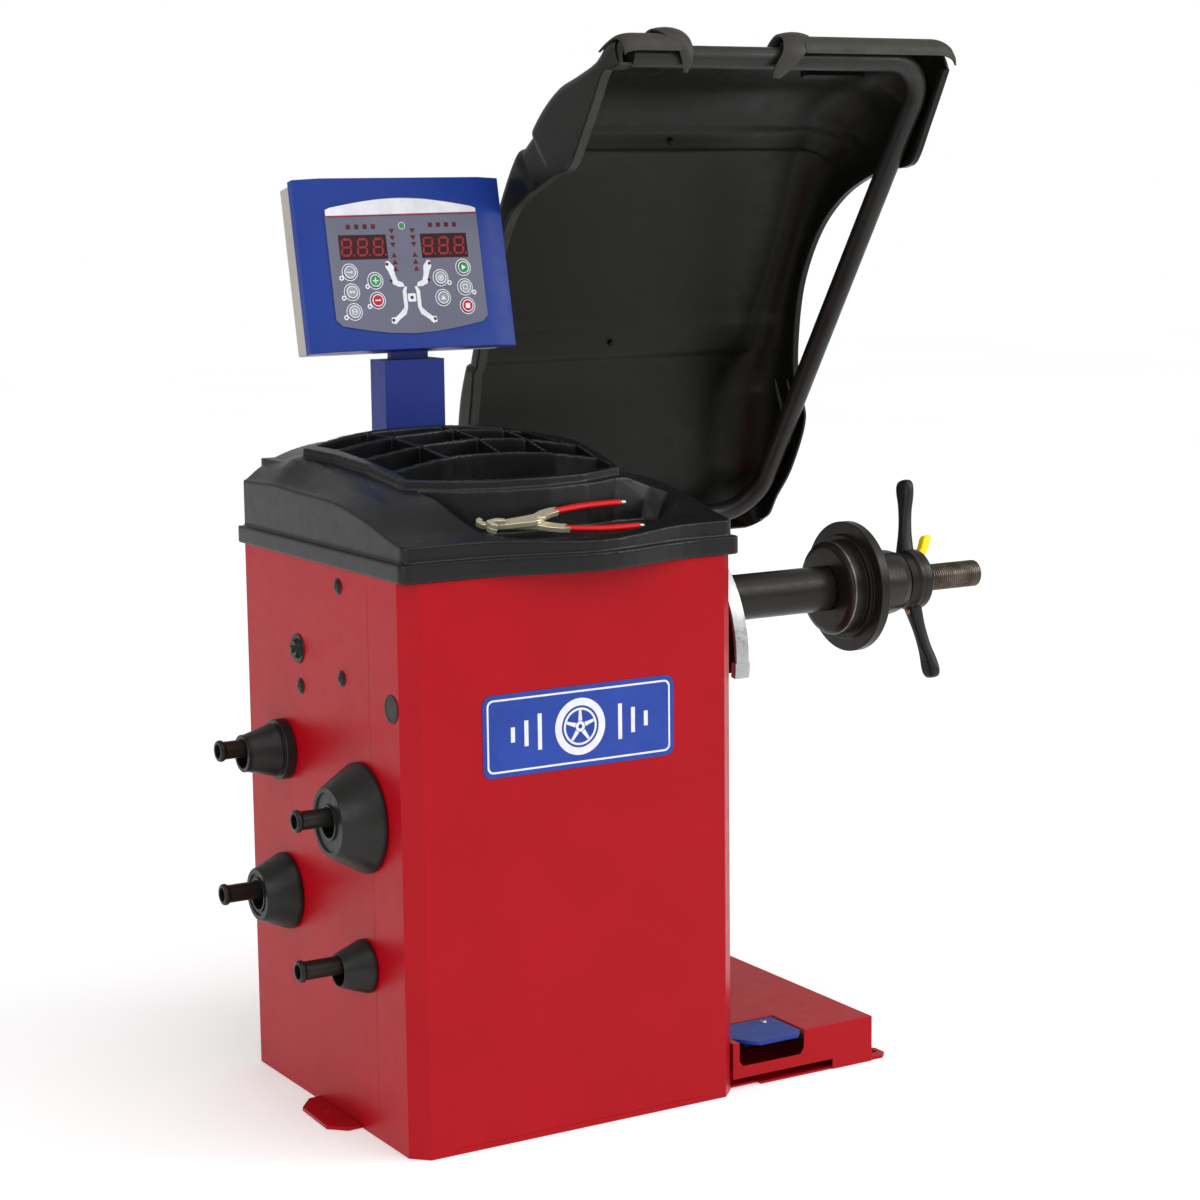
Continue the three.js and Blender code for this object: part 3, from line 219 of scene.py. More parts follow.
class Piece:
    """Shapes in millimetres that become one object of the model."""

    def __init__(self):
        self.points, self.faces, self.finishes = [], [], []

    def add(self, shape, finish=0, turn=None):
        points, faces = shape
        base = len(self.points)
        self.points += [turn @ Vector(p) if turn else Vector(p) for p in points]
        self.faces += [[base + i for i in face] for face in faces]
        self.finishes += [finish] * len(faces)
        return self

    def make(self, name, body, slot, materials, replaces=(), sharp=35, bevel=0.0):
        mesh = bpy.data.meshes.new(name)
        mesh.from_pydata([p * MM for p in self.points], [], self.faces)
        for material in materials:
            mesh.materials.append(material)
        mesh.polygons.foreach_set("material_index", self.finishes)
        shape = bmesh.new()
        shape.from_mesh(mesh)
        bmesh.ops.remove_doubles(shape, verts=shape.verts, dist=2e-6)
        bmesh.ops.recalc_face_normals(shape, faces=shape.faces)
        shape.to_mesh(mesh)
        shape.free()
        mesh.shade_smooth()
        mesh.set_sharp_from_angle(angle=math.radians(sharp))
        obj = bpy.data.objects.new(name, mesh)
        bpy.context.scene.collection.objects.link(obj)
        if bevel:
            round_edges(obj, bevel)
        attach(obj, body)
        if replaces:
            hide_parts(*replaces)
        return obj


def round_edges(obj, width, angle=35, segments=2):
    bevel = obj.modifiers.new("rounded_edges", "BEVEL")
    bevel.width = width * MM
    bevel.segments = segments
    bevel.limit_method = "ANGLE"
    bevel.angle_limit = math.radians(angle)
    obj.modifiers.new("even_shading", "WEIGHTED_NORMAL").keep_sharp = True


def dress_node(name, material):
    """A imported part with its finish, smooth and with its corners joined."""
    obj = NODES[name]
    mesh = obj.data
    if "custom_normal" in mesh.attributes:
        mesh.attributes.remove(mesh.attributes["custom_normal"])
    mesh.polygons.foreach_set("use_smooth", [True] * len(mesh.polygons))
    mesh.materials.clear()
    mesh.materials.append(material)
    obj.modifiers.new("joined_corners", "WELD").merge_threshold = 1e-5
    return obj


def finish_node(name, material, bevel):
    """A dressed part with its sharp edges rounded."""
    obj = dress_node(name, material)
    flat = obj.modifiers.new("whole_faces", "DECIMATE")
    flat.decimate_type = "DISSOLVE"
    flat.angle_limit = math.radians(0.8)
    round_edges(obj, bevel, angle=30)


# ---------------- finishes


MOTTLE_BAND = (0.36, 0.64)
GLOSS_BAND = (0.3, 0.7)
GLOSS_FINER = 5
GRAIN_HEIGHT = 0.0006
RING_HEIGHT = 0.0004
RING_SCALE = 240


def linear(colour):
    """A colour given as red, green and blue up to 255, as light."""
    return [((c / 255 + 0.055) / 1.055) ** 2.4 if c > 10 else c / 255 / 12.92 for c in colour] + [1]


def finish(name, colour, other, roughness, metallic=0.0, mottle=9, grain=900, depth=0.06,
           worn=0.12, sheen=0.3, rings=0.0):
    """A procedural finish: a mottled colour, an uneven gloss and a fine surface grain."""
    material = bpy.data.materials.new(name)
    material.use_nodes = True
    nodes, links = material.node_tree.nodes, material.node_tree.links
    shader = nodes["Principled BSDF"]
    shader.inputs["Metallic"].default_value = metallic
    shader.inputs["Specular IOR Level"].default_value = sheen
    place = nodes.new("ShaderNodeTexCoord").outputs["Object"]

    def noise(scale, detail):
        texture = nodes.new("ShaderNodeTexNoise")
        texture.inputs["Scale"].default_value = scale
        texture.inputs["Detail"].default_value = detail
        links.new(place, texture.inputs["Vector"])
        return texture.outputs["Fac"]

    ramp = nodes.new("ShaderNodeValToRGB")
    for element, position, shade in zip(ramp.color_ramp.elements, MOTTLE_BAND, (colour, other)):
        element.position = position
        element.color = linear(shade)
    links.new(noise(mottle, 6), ramp.inputs["Fac"])
    links.new(ramp.outputs["Color"], shader.inputs["Base Color"])

    gloss = nodes.new("ShaderNodeMapRange")
    gloss.inputs["From Min"].default_value, gloss.inputs["From Max"].default_value = GLOSS_BAND
    gloss.inputs["To Min"].default_value = max(roughness - worn, 0.03)
    gloss.inputs["To Max"].default_value = min(roughness + worn, 1)
    links.new(noise(mottle * GLOSS_FINER, 8), gloss.inputs["Value"])
    links.new(gloss.outputs["Result"], shader.inputs["Roughness"])

    bump = nodes.new("ShaderNodeBump")
    bump.inputs["Strength"].default_value = depth
    bump.inputs["Distance"].default_value = GRAIN_HEIGHT
    links.new(noise(grain, 3), bump.inputs["Height"])
    links.new(bump.outputs["Normal"], shader.inputs["Normal"])
    if rings:
        centred = nodes.new("ShaderNodeMapping")
        centred.inputs["Location"].default_value = (0, -SHAFT[0] * MM, -SHAFT[1] * MM)
        links.new(place, centred.inputs["Vector"])
        turned = nodes.new("ShaderNodeTexWave")
        turned.wave_type = "RINGS"
        turned.rings_direction = "X"
        turned.inputs["Scale"].default_value = RING_SCALE
        turned.inputs["Distortion"].default_value = 1.5
        links.new(centred.outputs["Vector"], turned.inputs["Vector"])
        lines = nodes.new("ShaderNodeBump")
        lines.inputs["Strength"].default_value = rings
        lines.inputs["Distance"].default_value = RING_HEIGHT
        links.new(turned.outputs["Fac"], lines.inputs["Height"])
        links.new(bump.outputs["Normal"], lines.inputs["Normal"])
        links.new(lines.outputs["Normal"], shader.inputs["Normal"])
    return material


RED = finish("red_paint", (166, 3, 20), (161, 2, 17), 0.34, grain=620, depth=0.10, worn=0.04,
             sheen=0.16)
BLUE = finish("blue_paint", (30, 58, 140), (27, 54, 134), 0.38, grain=620, depth=0.10, worn=0.05,
              sheen=0.2)
COLUMN_BLUE = finish("column_paint", (26, 46, 130), (23, 42, 122), 0.40, grain=620, depth=0.10,
                     worn=0.05)
GREY = finish("grey_paint", (180, 174, 168), (172, 166, 160), 0.5, grain=700, depth=0.12, worn=0.06)
TRAY = finish("tray_plastic", (20, 21, 22), (17, 18, 19), 0.30, grain=1500, depth=0.12, worn=0.05,
              sheen=0.26)
HOOD = finish("hood_plastic", (17, 17, 13), (14, 14, 10), 0.36, grain=1100, depth=0.16, worn=0.06,
              sheen=0.2)
# A lighter copy of the hood plastic: painted highlight on the hood's edges.
HOOD_PAINTED_HIGHLIGHT = finish("hood_plastic_painted_highlight", (50, 48, 42), (44, 42, 37), 0.5, grain=1100, depth=0.2)
FRAME_TUBE = finish("frame_tube_paint", (28, 27, 25), (23, 22, 20), 0.4, grain=700, depth=0.12)
PLASTIC = finish("black_plastic", (26, 26, 27), (21, 21, 22), 0.42, grain=1300, depth=0.18)
STEEL_DARK = finish("dark_steel", (36, 34, 30), (31, 29, 26), 0.34, metallic=0.35, mottle=18, grain=1500,
                    depth=0.08, worn=0.07)
STEEL_TURNED = finish("turned_dark_steel", (38, 36, 31), (31, 29, 26), 0.32, metallic=0.35, mottle=14,
                      grain=1500, depth=0.06, worn=0.07, rings=0.12)
# Bright steel for the bearings; as a thin ring on the flange's rounded edge it is a painted highlight.
BRIGHT_STEEL_AND_EDGE_HIGHLIGHT = finish("bearing_steel_and_painted_edge_highlight", (120, 117, 110), (84, 81, 76), 0.32, metallic=0.8, mottle=60)
THREAD_STEEL = finish("thread_steel", (104, 96, 86), (72, 66, 58), 0.34, metallic=0.8, mottle=50,
                      grain=1200, depth=0.12)
CAST = finish("cone_steel", (40, 40, 39), (33, 33, 32), 0.36, metallic=0.4, mottle=16, grain=1400,
              depth=0.12, worn=0.08)
ALUMINIUM = finish("aluminium", (186, 188, 187), (166, 169, 168), 0.34, metallic=0.85, mottle=40,
                   grain=1600, depth=0.08)
ZINC = finish("zinc_plate", (186, 186, 180), (156, 156, 150), 0.34, metallic=0.8, mottle=60)
RUBBER = finish("rubber", (26, 26, 27), (21, 21, 22), 0.7, grain=1500, depth=0.2)
BOARD = finish("circuit_board", (20, 92, 50), (14, 76, 40), 0.45, mottle=200)
NICKEL = finish("nickel_plate", (228, 220, 192), (218, 209, 180), 0.28, metallic=0.6, mottle=14,
                depth=0.01, worn=0.03)
GRIP = finish("red_grip", (212, 8, 14), (196, 6, 12), 0.34, grain=1300, depth=0.08)
YELLOW = finish("yellow_plastic", (252, 222, 0), (244, 208, 0), 0.4, grain=1500, depth=0.06)
# The release lever's yellow plastic darkened to amber: painted shade for its end under the shaft.
YELLOW_IN_PAINTED_SHADE = finish("yellow_plastic_painted_shade", (190, 132, 40), (164, 108, 30), 0.4)
FILM = finish("fascia_film", (104, 106, 124), (98, 100, 118), 0.34, grain=2200, depth=0.06, worn=0.04)
WHITE_PRINT = finish("white_print", (228, 228, 234), (216, 216, 224), 0.4, mottle=60, depth=0.03)
RED_PRINT = finish("red_print", (150, 20, 34), (132, 14, 28), 0.4, mottle=60, depth=0.03)
DARK_PRINT = finish("dark_red_print", (92, 14, 26), (74, 8, 18), 0.4, mottle=60, depth=0.03)
GREEN_PRINT = finish("green_print", (40, 150, 78), (30, 132, 64), 0.4, mottle=60, depth=0.03)
WINDOW = finish("led_window", (58, 10, 18), (44, 6, 12), 0.16, mottle=60, depth=0.02, worn=0.04)
DIGIT = finish("led_segment", (150, 40, 48), (132, 30, 38), 0.3, mottle=60, depth=0.02)
KEY_GREY = finish("grey_key", (150, 152, 162), (138, 140, 150), 0.42, mottle=60, depth=0.1)
KEY_GREEN = finish("green_key", (36, 140, 74), (28, 122, 60), 0.4, mottle=60, depth=0.1)
KEY_RED = finish("red_key", (190, 26, 38), (170, 18, 30), 0.4, mottle=60, depth=0.1)
BADGE = finish("badge_blue", (30, 66, 158), (26, 58, 146), 0.3, mottle=20, grain=2200, depth=0.05,
               worn=0.05)
# Dark patches painted where holes, hollows and screw recesses would lie in shade: painted shade, the
# recesses are not cut.
RECESS_SHADE = finish("painted_recess_shade", (20, 20, 21), (14, 14, 15), 0.5)
SEAM = finish("seam_shadow", (120, 8, 22), (110, 6, 20), 0.5)
FLOOR = finish("studio_floor", (246, 246, 246), (243, 243, 243), 0.9, mottle=0.5, grain=60,
               depth=0.02, worn=0.04)

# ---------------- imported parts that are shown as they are

NODE_FINISHES = {
    "cabinet_shell": (RED, 1.2), "base_frame": (RED, 0.8), "rear_panel": (RED, 0.6),
    "platform_cover": (RED, 1.6), "brake_pedal": (BLUE, 1.0), "pedal_pin": (ZINC, 0.5),
    "display_column": (COLUMN_BLUE, 1.4), "display_front": (BLUE, 0.9), "display_back": (GREY, 1.6),
    "fascia_plate": (FILM, 0.3), "control_board": (BOARD, 0.2), "hood_bracket": (STEEL_DARK, 0.8),
    "mains_inlet": (PLASTIC, 0.4), "power_switch": (RUBBER, 0.5), "brake_cable": (RUBBER, 0.2),
    "spindle_support": (STEEL_DARK, 0.8), "gauge_guide": (PLASTIC, 0.6),
}
OTHER_FINISHES = {"board": BOARD, "belt": RUBBER, "brake": STEEL_DARK, "bearing": BRIGHT_STEEL_AND_EDGE_HIGHLIGHT,
                  "pulley": ALUMINIUM, "encoder": PLASTIC, "motor": STEEL_DARK}
TRAY_VOXEL = 0.0019
TRAY_SOFTENING = {"factor": 0.5, "passes": 4}

for node, (material, bevel) in NODE_FINISHES.items():
    finish_node(node, material, bevel)
for node in sorted(set(NODES) - set(NODE_FINISHES) - {"weight_tray"}):
    material = next((m for word, m in OTHER_FINISHES.items() if word in node), PLASTIC)
    finish_node(node, material, 0.3)

# The tray is moulded: its walls and corners are all rounded over.
tray = dress_node("weight_tray", TRAY)
skin = tray.modifiers.new("moulded_skin", "REMESH")
skin.mode = "VOXEL"
skin.voxel_size = TRAY_VOXEL
skin.use_smooth_shade = True
soften = tray.modifiers.new("rounded_over", "SMOOTH")
soften.factor = TRAY_SOFTENING["factor"]
soften.iterations = TRAY_SOFTENING["passes"]

# ---------------- balancing shaft


def thread_shape():
    """The threaded end, with its ridge winding round the shaft and a plain chamfered tip."""
    segments, steps, plain_tip = 72, 8, 4
    start, end, pitch = THREAD["start"], THREAD["end"], THREAD["pitch"]
    count = int((end - plain_tip - start) / pitch * steps)
    sections = []
    for i in range(count + 1):
        x = start + (end - plain_tip - start) * i / count
        section = []
        for k in range(segments):
            turn = (x / pitch + k / segments) % 1
            rise = min(1, max(0, 1.6 - 3.2 * abs(turn - 0.5)))
            radius = THREAD["root"] + (THREAD["crest"] - THREAD["root"]) * rise
            section.append((x, SHAFT[0] + radius * math.cos(TAU * k / segments),
                            SHAFT[1] + radius * math.sin(TAU * k / segments)))
        sections.append(section)
    for x, radius in ((end - 2, 17.6), (end, 15.6)):
        sections.append([(x, SHAFT[0] + radius * math.cos(TAU * k / segments),
                          SHAFT[1] + radius * math.sin(TAU * k / segments)) for k in range(segments)])
    return loft(sections)


shaft = Piece()
shaft.add(lathe([(-135, 0), (-135, 15.7), (-133.5, 17.2), (538.5, 17.2), (538.5, 20), (591, 20),
                 (592, 18.4), (592, 0)], SHAFT))
shaft.add(thread_shape(), 1)
shaft.make("shaft_with_thread", "spindle", "bright_steel", [STEEL_TURNED, THREAD_STEEL],
           ["spindle_shaft"])

housing = [(-70, 27), (-70, 32.7), (-69.5, 33.2), (537.5, 33.2), (538, 32.7), (538, 27)]
Piece().add(lathe(housing, SHAFT, closed=True)
            ).make("housing_tube", "machine", "black_steel", [STEEL_DARK], ["spindle_housing"])

flange = Piece()
flange.add(lathe([(540.3, NUT_BORE), (540.3, 58), (541, 62), (543.5, 66.5), (546.5, 68.4)], SHAFT))
# A thin ring of bright steel round the boss's rounded edge: painted highlight.
flange.add(lathe([(546.5, 68.4), (549, 69)], SHAFT), 1)
flange.add(lathe([(549, 69), (567.4, 69), (568, 69.6), (568, 76.2), (568.8, 77), (573.4, 77),
                  (574, 77.6), (574, 95), (575, 96), (588, 96), (590, 94), (590, 60), (589, 59.4),
                  (587, 59.4), (587, NUT_BORE), (540.3, NUT_BORE)], SHAFT), 0)
# Each hole is a thin dark disc just proud of the flange face: painted shade, the hole itself is not cut.
hole = [(574.05, 0), (574.05, 3.2), (573.7, 3.6), (573.7, 4.6), (574.05, 4.8)]
for turn in (FLANGE_HOLE["turn"], FLANGE_HOLE["turn"] + 180):
    y = SHAFT[0] + FLANGE_HOLE["radius"] * math.cos(math.radians(turn))
    z = SHAFT[1] + FLANGE_HOLE["radius"] * math.sin(math.radians(turn))
    flange.add(lathe(hole, (y, z), segments=24), 2)
flange.make("flange_turned", "spindle", "black_steel", [STEEL_TURNED, BRIGHT_STEEL_AND_EDGE_HIGHLIGHT, RECESS_SHADE],
            ["wheel_flange"], bevel=0.3)

Piece().add(lathe([(588, 52.5), (588, 56), (588.5, 56.5), (595, 56.5), (596, 55.9), (597, 56.2),
                   (616, 53.2), (617, 52.4), (618, 53), (655, 47.2), (657, 46.4), (666.6, 43.6),
                   (668, 42.4), (668, NUT_BORE), (644, NUT_BORE), (636, 45)], SHAFT, closed=True)
            ).make("cup_turned", "cup", "black_steel", [STEEL_TURNED], ["pressure_cup"], bevel=0.3)


def handle_section(reach, across, x, deep, count=28, power=2.6):
    """A rounded section of a handle that stands out along z before it is turned."""
    section = []
    for k in range(count):
        c, s = math.cos(TAU * k / count), math.sin(TAU * k / count)
        section.append((x + deep * math.copysign(abs(c) ** (2 / power), c),
                        across * math.copysign(abs(s) ** (2 / power), s), reach))
    return section


def about_shaft(turn):
    """The axes of a handle or of the release tab, turned round the shaft."""
    return Matrix.Translation((0, *SHAFT)) @ Matrix.Rotation(math.radians(turn), 4, "X")


def on_handle(u, v, w):
    """Onto the raked outer face of a handle, where v is the reach from the shaft's axis."""
    return w + 0.12 * (v - 118), u, v


def quick_nut():
    """The nut's collar with two opposite handles, each with a ridged hollow near its end; the hollow is a
    dark patch of painted shade, not cut.
    """
    nut = Piece()
    nut.add(lathe([(673, NUT_BORE), (673, 38.4), (673.8, 39), (682, 41.5), (683, 42), (686, 44.6),
                   (687, 45), (693, 45), (693.6, 44.4), (694.6, 44.4), (695.2, 45), (704.6, 45),
                   (706, 44.6), (711.4, 38.4), (712, 37), (712, NUT_BORE)], SHAFT, closed=True), 0)
    stations = [(30, 13.5, 693, 13), (42, 13, 694, 12), (54, 11.5, 696, 11), (70, 9.6, 699, 9.6),
                (88, 9.2, 702.5, 9), (104, 10.4, 705.5, 9), (118, 13.2, 708.5, 9.4),
                (130, 15.4, 710, 9.8), (139, 15.6, 711, 9.6), (145, 13.6, 711.6, 8.6),
                (148.6, 9.8, 711.8, 6.6), (150, 4.5, 712, 3.2)]
    smooth = spline(stations, 44)
    hollow = arc(0, 10, 9.5, 0, 180, 12) + arc(0, -14, 6.5, 180, 360, 12)
    for turn in (0, 180):
        place = about_shaft(turn + NUT_TURN)
        nut.add(loft([handle_section(*station) for station in smooth]), 1, place)
        # The hollow is a flat dark patch on the handle's face: painted shade.
        nut.add(prism([[(u * 0.9, 126 + v) for u, v in hollow]], 698.7, 706, on_handle), 2, place)
        for step in range(5):
            height = 112 + 6 * step
            radius = 9 + 0.3 * step
            ridge = (arc(0, height - 6, radius, 60, 120, 8)
                     + arc(0, height - 7.6, radius, 120, 60, 8))
            nut.add(prism([ridge], 698.1, 703, on_handle), 1, place)
    nut.make("nut_with_handles", "nut", "black_plastic", [STEEL_DARK, PLASTIC, RECESS_SHADE],
             ["quick_nut"], bevel=0.4)


quick_nut()

tab = [(25, 712.8), (38, 712.8), (46, 722), (60, 729), (63, 731.4), (64, 737), (63, 741.4), (60, 743),
       (44, 735), (25, 720)]
Piece().add(prism([tab], -6.4, 6.4, lambda u, v, w: (v, w, u)), 0, about_shaft(NUT_TURN)
            ).make("release_tab", "release", "yellow_plastic", [YELLOW], ["nut_release"], bevel=1.6)
# The release lever's other end, below the shaft, in yellow plastic darkened to amber as painted shade.
pin = [(683, 0), (683, 5), (684, 6), (694, 6), (695, 5), (695, 0)]
Piece().add(lathe(pin, (0, -45.5), segments=24), 0, about_shaft(NUT_TURN)
            ).make("nut_pin", "nut", "black_plastic", [YELLOW_IN_PAINTED_SHADE], bevel=0.5)

# ---------------- rim gauge

Piece().add(lathe([(-30, 0), (-30, 7.4), (-29.4, 8), (279.5, 8), (279.5, 6), (300.5, 6), (300.5, 8.6),
                   (301, 9), (303.6, 9), (304, 8.6), (304, 0)], GAUGE_ROD, segments=48)
            ).make("rod_round", "gauge_slider", "bright_steel", [ZINC], ["gauge_rod"], bevel=0.3)


def gauge_arm():
    """A curved black arm with slanting ribs, a bright strip down its outer edge and a bright end."""
    y, z, inner, outer = -30.5, 601.6, 145.5, 170.5

    def sector(near, far, start, end, steps=40):
        return arc(y, z, far, start, end, steps) + arc(y, z, near, end, start, steps)

    arm = Piece()
    arm.add(prism([sector(inner, outer - 5, 123, 188.6)], 287, 293, on_x))
    arm.add(prism([sector(inner, inner + 3, 123, 188.6)], 281, 299, on_x))
    arm.add(prism([sector(outer - 8, outer - 4.6, 123, 188.6)], 281, 299, on_x))
    for i in range(19):
        start = 127 + 3 * i
        lean = 6 if i % 2 else -6
        near = arc(y, z, inner + 2, start, start + 0.9, 1)
        far = arc(y, z, outer - 6.5, start + lean + 0.9, start + lean, 1)
        arm.add(prism([near + far], 282.5, 297.5, on_x))
    arm.add(prism([sector(outer - 5, outer, 124, 189)], 280, 300, on_x), 1)
    arm.add(prism([sector(outer - 10, outer + 0.4, 181.5, 189)], 278.4, 301.6, on_x), 1)
    arm.add(lathe([(280, 6.5), (280, 13.4), (280.6, 14), (299.4, 14), (300, 13.4), (300, 6.5)], GAUGE_ROD,
                  segments=48, closed=True), 0)
    arm.make("arm_with_strip", "gauge_pointer", "black_plastic", [PLASTIC, ALUMINIUM], ["gauge_arm"],
             bevel=0.5)


gauge_arm()

# ---------------- pegs and centring cones

PEGS = [(131, 490), (-116, 440.7), (132, 288), (-114, 239.5)]
PEG_LENGTH = 100
CONE_START, CONE_BORE, CONE_DROP = -252, 20.2, 7.4
CONES = [
    [(0, 42), (13.2, 42), (14, 41.2), (14, 35.6), (14.6, 35), (17, 35), (18, 37), (56, 26.4), (57, 26),
     (63, 26), (64, 25)],
    [(0, 72.7), (0.8, 73.5), (5.6, 73.5), (7, 72.9), (51, 46.8), (52, 45.6)],
    [(0, 52.7), (0.8, 53.5), (5.6, 53.5), (7, 52.9), (46, 36.8), (47, 35.6)],
    [(0, 35.2), (0.8, 36), (4.6, 36), (6, 35.4), (41, 22.8), (42, 21.8)],
]
for i, (y, z) in enumerate(PEGS, 1):
    start, end = PANEL_X, PANEL_X - PEG_LENGTH
    Piece().add(lathe([(start, 0), (start, 12.5), (end + 9, 12.5), (end + 8, 13.4), (end + 6, 14.9),
                       (end + 3, 15), (end + 0.8, 14), (end, 12.6), (end, 10), (end + 0.6, 9.5),
                       (start - 6, 9.5), (start - 6, 0)], (y, z), segments=64)
                ).make(f"peg_{i}_round", "machine", "black_plastic", [STEEL_DARK], [f"tool_peg_{i}"])
    outside = [(CONE_START - along, radius) for along, radius in CONES[i - 1]]
    rim, face = outside[-1]
    # A wide end face is turned back, which leaves a raised lip round it and a collar at the bore.
    if face > 34:
        outside += [(rim, face - 6), (rim + 2.4, face - 7), (rim + 2.4, 24.5), (rim, 24)]
    outside += [(rim, 21), (rim + 0.8, CONE_BORE), (CONE_START, CONE_BORE)]
    Piece().add(lathe(outside, (y, z - CONE_DROP), closed=True)
                ).make(f"cone_{i}_turned", f"cone_{i}", "cast_iron", [CAST], [f"centring_cone_{i}"])

# ---------------- pliers

PLIERS_LEAN = Matrix.Translation((-17, -181, 807.2)) @ Matrix.Rotation(math.radians(21.8), 4, "X")


def pliers_lever(side, z, name, body, node):
    """One lever: a jaw, a flat lap and a dipped grip with a bare tip; the upper jaw has a hook."""
    jaw = [(-84, 5), (-88, 14), (-86, 20), (-79, 25), (-76, 20), (-79, 15), (-75, 11), (-66, 13),
           (-52, 13), (-38, 12), (-24, 12), (-12, 10), (-2, 7), (8, -1), (20, -7), (33, -11), (34, -23),
           (22, -22), (6, -17), (-8, -9), (-24, -6), (-50, -2), (-74, 2)]
    hook = [(-87, 8), (-87.6, 14), (-85, 20), (-79, 24.4), (-76.6, 20), (-79.6, 15), (-76, 11),
            (-66, 12.6), (-60, 12.4), (-60, 7), (-72, 4)]
    lever = Piece()
    lever.add(prism([[(a, side * b) for a, b in jaw]], z, z + 7, on_z), 0, PLIERS_LEAN)
    if side < 0:
        lever.add(prism([[(a, side * b) for a, b in hook]], z + 6, z + 13, on_z), 0, PLIERS_LEAN)
    middle = z + 3.5
    line = spline([(28, -side * 17, middle), (50, -side * 21, middle), (80, -side * 25.6, middle),
                   (112, -side * 27, middle), (138, -side * 27, middle)], 24)
    grip = []
    for i, place in enumerate(line):
        swell = 5.0 + 0.6 * math.sin(math.pi * i / len(line)) - (1.6 if i in (0, len(line) - 1) else 0)
        grip.append([(place.x, place.y + swell * math.cos(TAU * k / 20),
                      place.z + 4.2 * math.sin(TAU * k / 20)) for k in range(20)])
    lever.add(loft(grip), 1, PLIERS_LEAN)
    tip = [(136, 0), (136, 3), (143, 2.8), (145.5, 1.8), (146, 0)]
    lever.add(lathe(tip, (-side * 27, middle), segments=20), 0, PLIERS_LEAN)
    lever.make(name, body, "red_grip", [NICKEL, GRIP], [node], bevel=0.7)


pliers_lever(1, 0, "lever_lower", "pliers", "pliers_lower")
pliers_lever(-1, 7.3, "lever_upper", "pliers_lever", "pliers_upper")
rivet = [(14.4, 0), (14.4, 6.4), (15.6, 6.2), (16.4, 5.2), (16.4, 0)]
Piece().add(lathe(rivet, (0, 0), "z", 32), 0, PLIERS_LEAN
            ).make("pliers_rivet", "pliers", "bright_steel", [NICKEL])

# ---------------- hood

# The hood from its front lip to its foot: at each station the y and z of the roof line, then of the
# free edges of the right and left walls.
HOOD_SECTIONS = [
    ((-17, 1450), (-34, 1412), (-32, 1413)), ((10, 1444), (-16, 1378), (-6, 1407)),
    ((43, 1418), (8, 1335), (14, 1404)), ((98, 1400), (38, 1283), (42, 1364)),
    ((147, 1386), (62, 1271), (72, 1322)), ((191, 1360), (96, 1268), (111, 1274)),
    ((227, 1329), (150, 1258), (168, 1262)), ((276, 1291), (222, 1227), (232, 1236)),
    ((330, 1215), (287, 1172), (290, 1200)), ((385, 1110), (335, 1088), (345, 1110)),
    ((432, 997), (353, 992), (398, 990)), ((461, 925), (350, 928), (414, 925)),
    ((474, 860), (330, 872), (427, 860)), ((486, 790), (368, 790), (437, 790)),
    ((493, 735), (412, 737), (440, 735)), ((490, 705), (432, 708), (440, 706)),
    ((473, 683), (452, 696), (445, 690)),
]
HOOD_LEFT, HOOD_RIGHT, HOOD_WALL = 205, 767, 4
# Each belt runs from one station to another across the roof, and holds a screw at an x.
HOOD_BELTS = [(5.85, 6.8), (9.6, 10.25)]
BELT_DEPTH, BELT_SLOPE = 4.5, 0.07
BELT_SCREWS = (457, 461)
# The roof's front is cut back between these two x, so that the bar can be gripped.
GRIP_GAP = (322, 506)
GRIP_EDGE, GRIP_CUT = 9, 1.7
LIP_LINE = [(24, 1437), (4, 1446.5), (-17, 1453), (-31, 1449.5), (-39, 1441), (-41, 1431)]
LIP_WALL = 3
# Each ear is a line of x, y and z with its half width at each point.
EARS = [
    ([(286, 44, 1432), (288, 18, 1452), (290, -10, 1465), (296, -32, 1457), (304, -43, 1441),
      (308, -44, 1420), (309, -37, 1402)], [14, 18, 21, 18, 13, 9, 3]),
    ([(512, 44, 1430), (508, 18, 1450), (506, -10, 1462), (500, -32, 1455), (488, -45, 1436),
      (472, -44, 1414), (462, -36, 1396)], [18, 22, 25, 23, 20, 16, 6]),
]


def hood_row(t):
    """The roof point and both wall edges at a place along the hood, and the roof's inward direction."""
    count = len(HOOD_SECTIONS) - 1

    def at(part, place):
        values = [Vector(section[part]) for section in HOOD_SECTIONS]
        k = min(max(int(place), 0), count - 1)
        return blend(*(values[min(max(k + i, 0), count)] for i in (-1, 0, 1, 2)), place - k)

    roof, right, left = (at(part, t) for part in range(3))
    along = (at(0, min(t + 0.05, count)) - at(0, max(t - 0.05, 0))).normalized()
    return roof, right, left, Vector((along.y, -along.x))


def belt_rise(t):
    """How far a belt stands in from the roof, with a short slope at its edges."""
    return max(BELT_DEPTH * min(1, max(0, min(t - low, high - t) / BELT_SLOPE))
               for low, high in HOOD_BELTS)


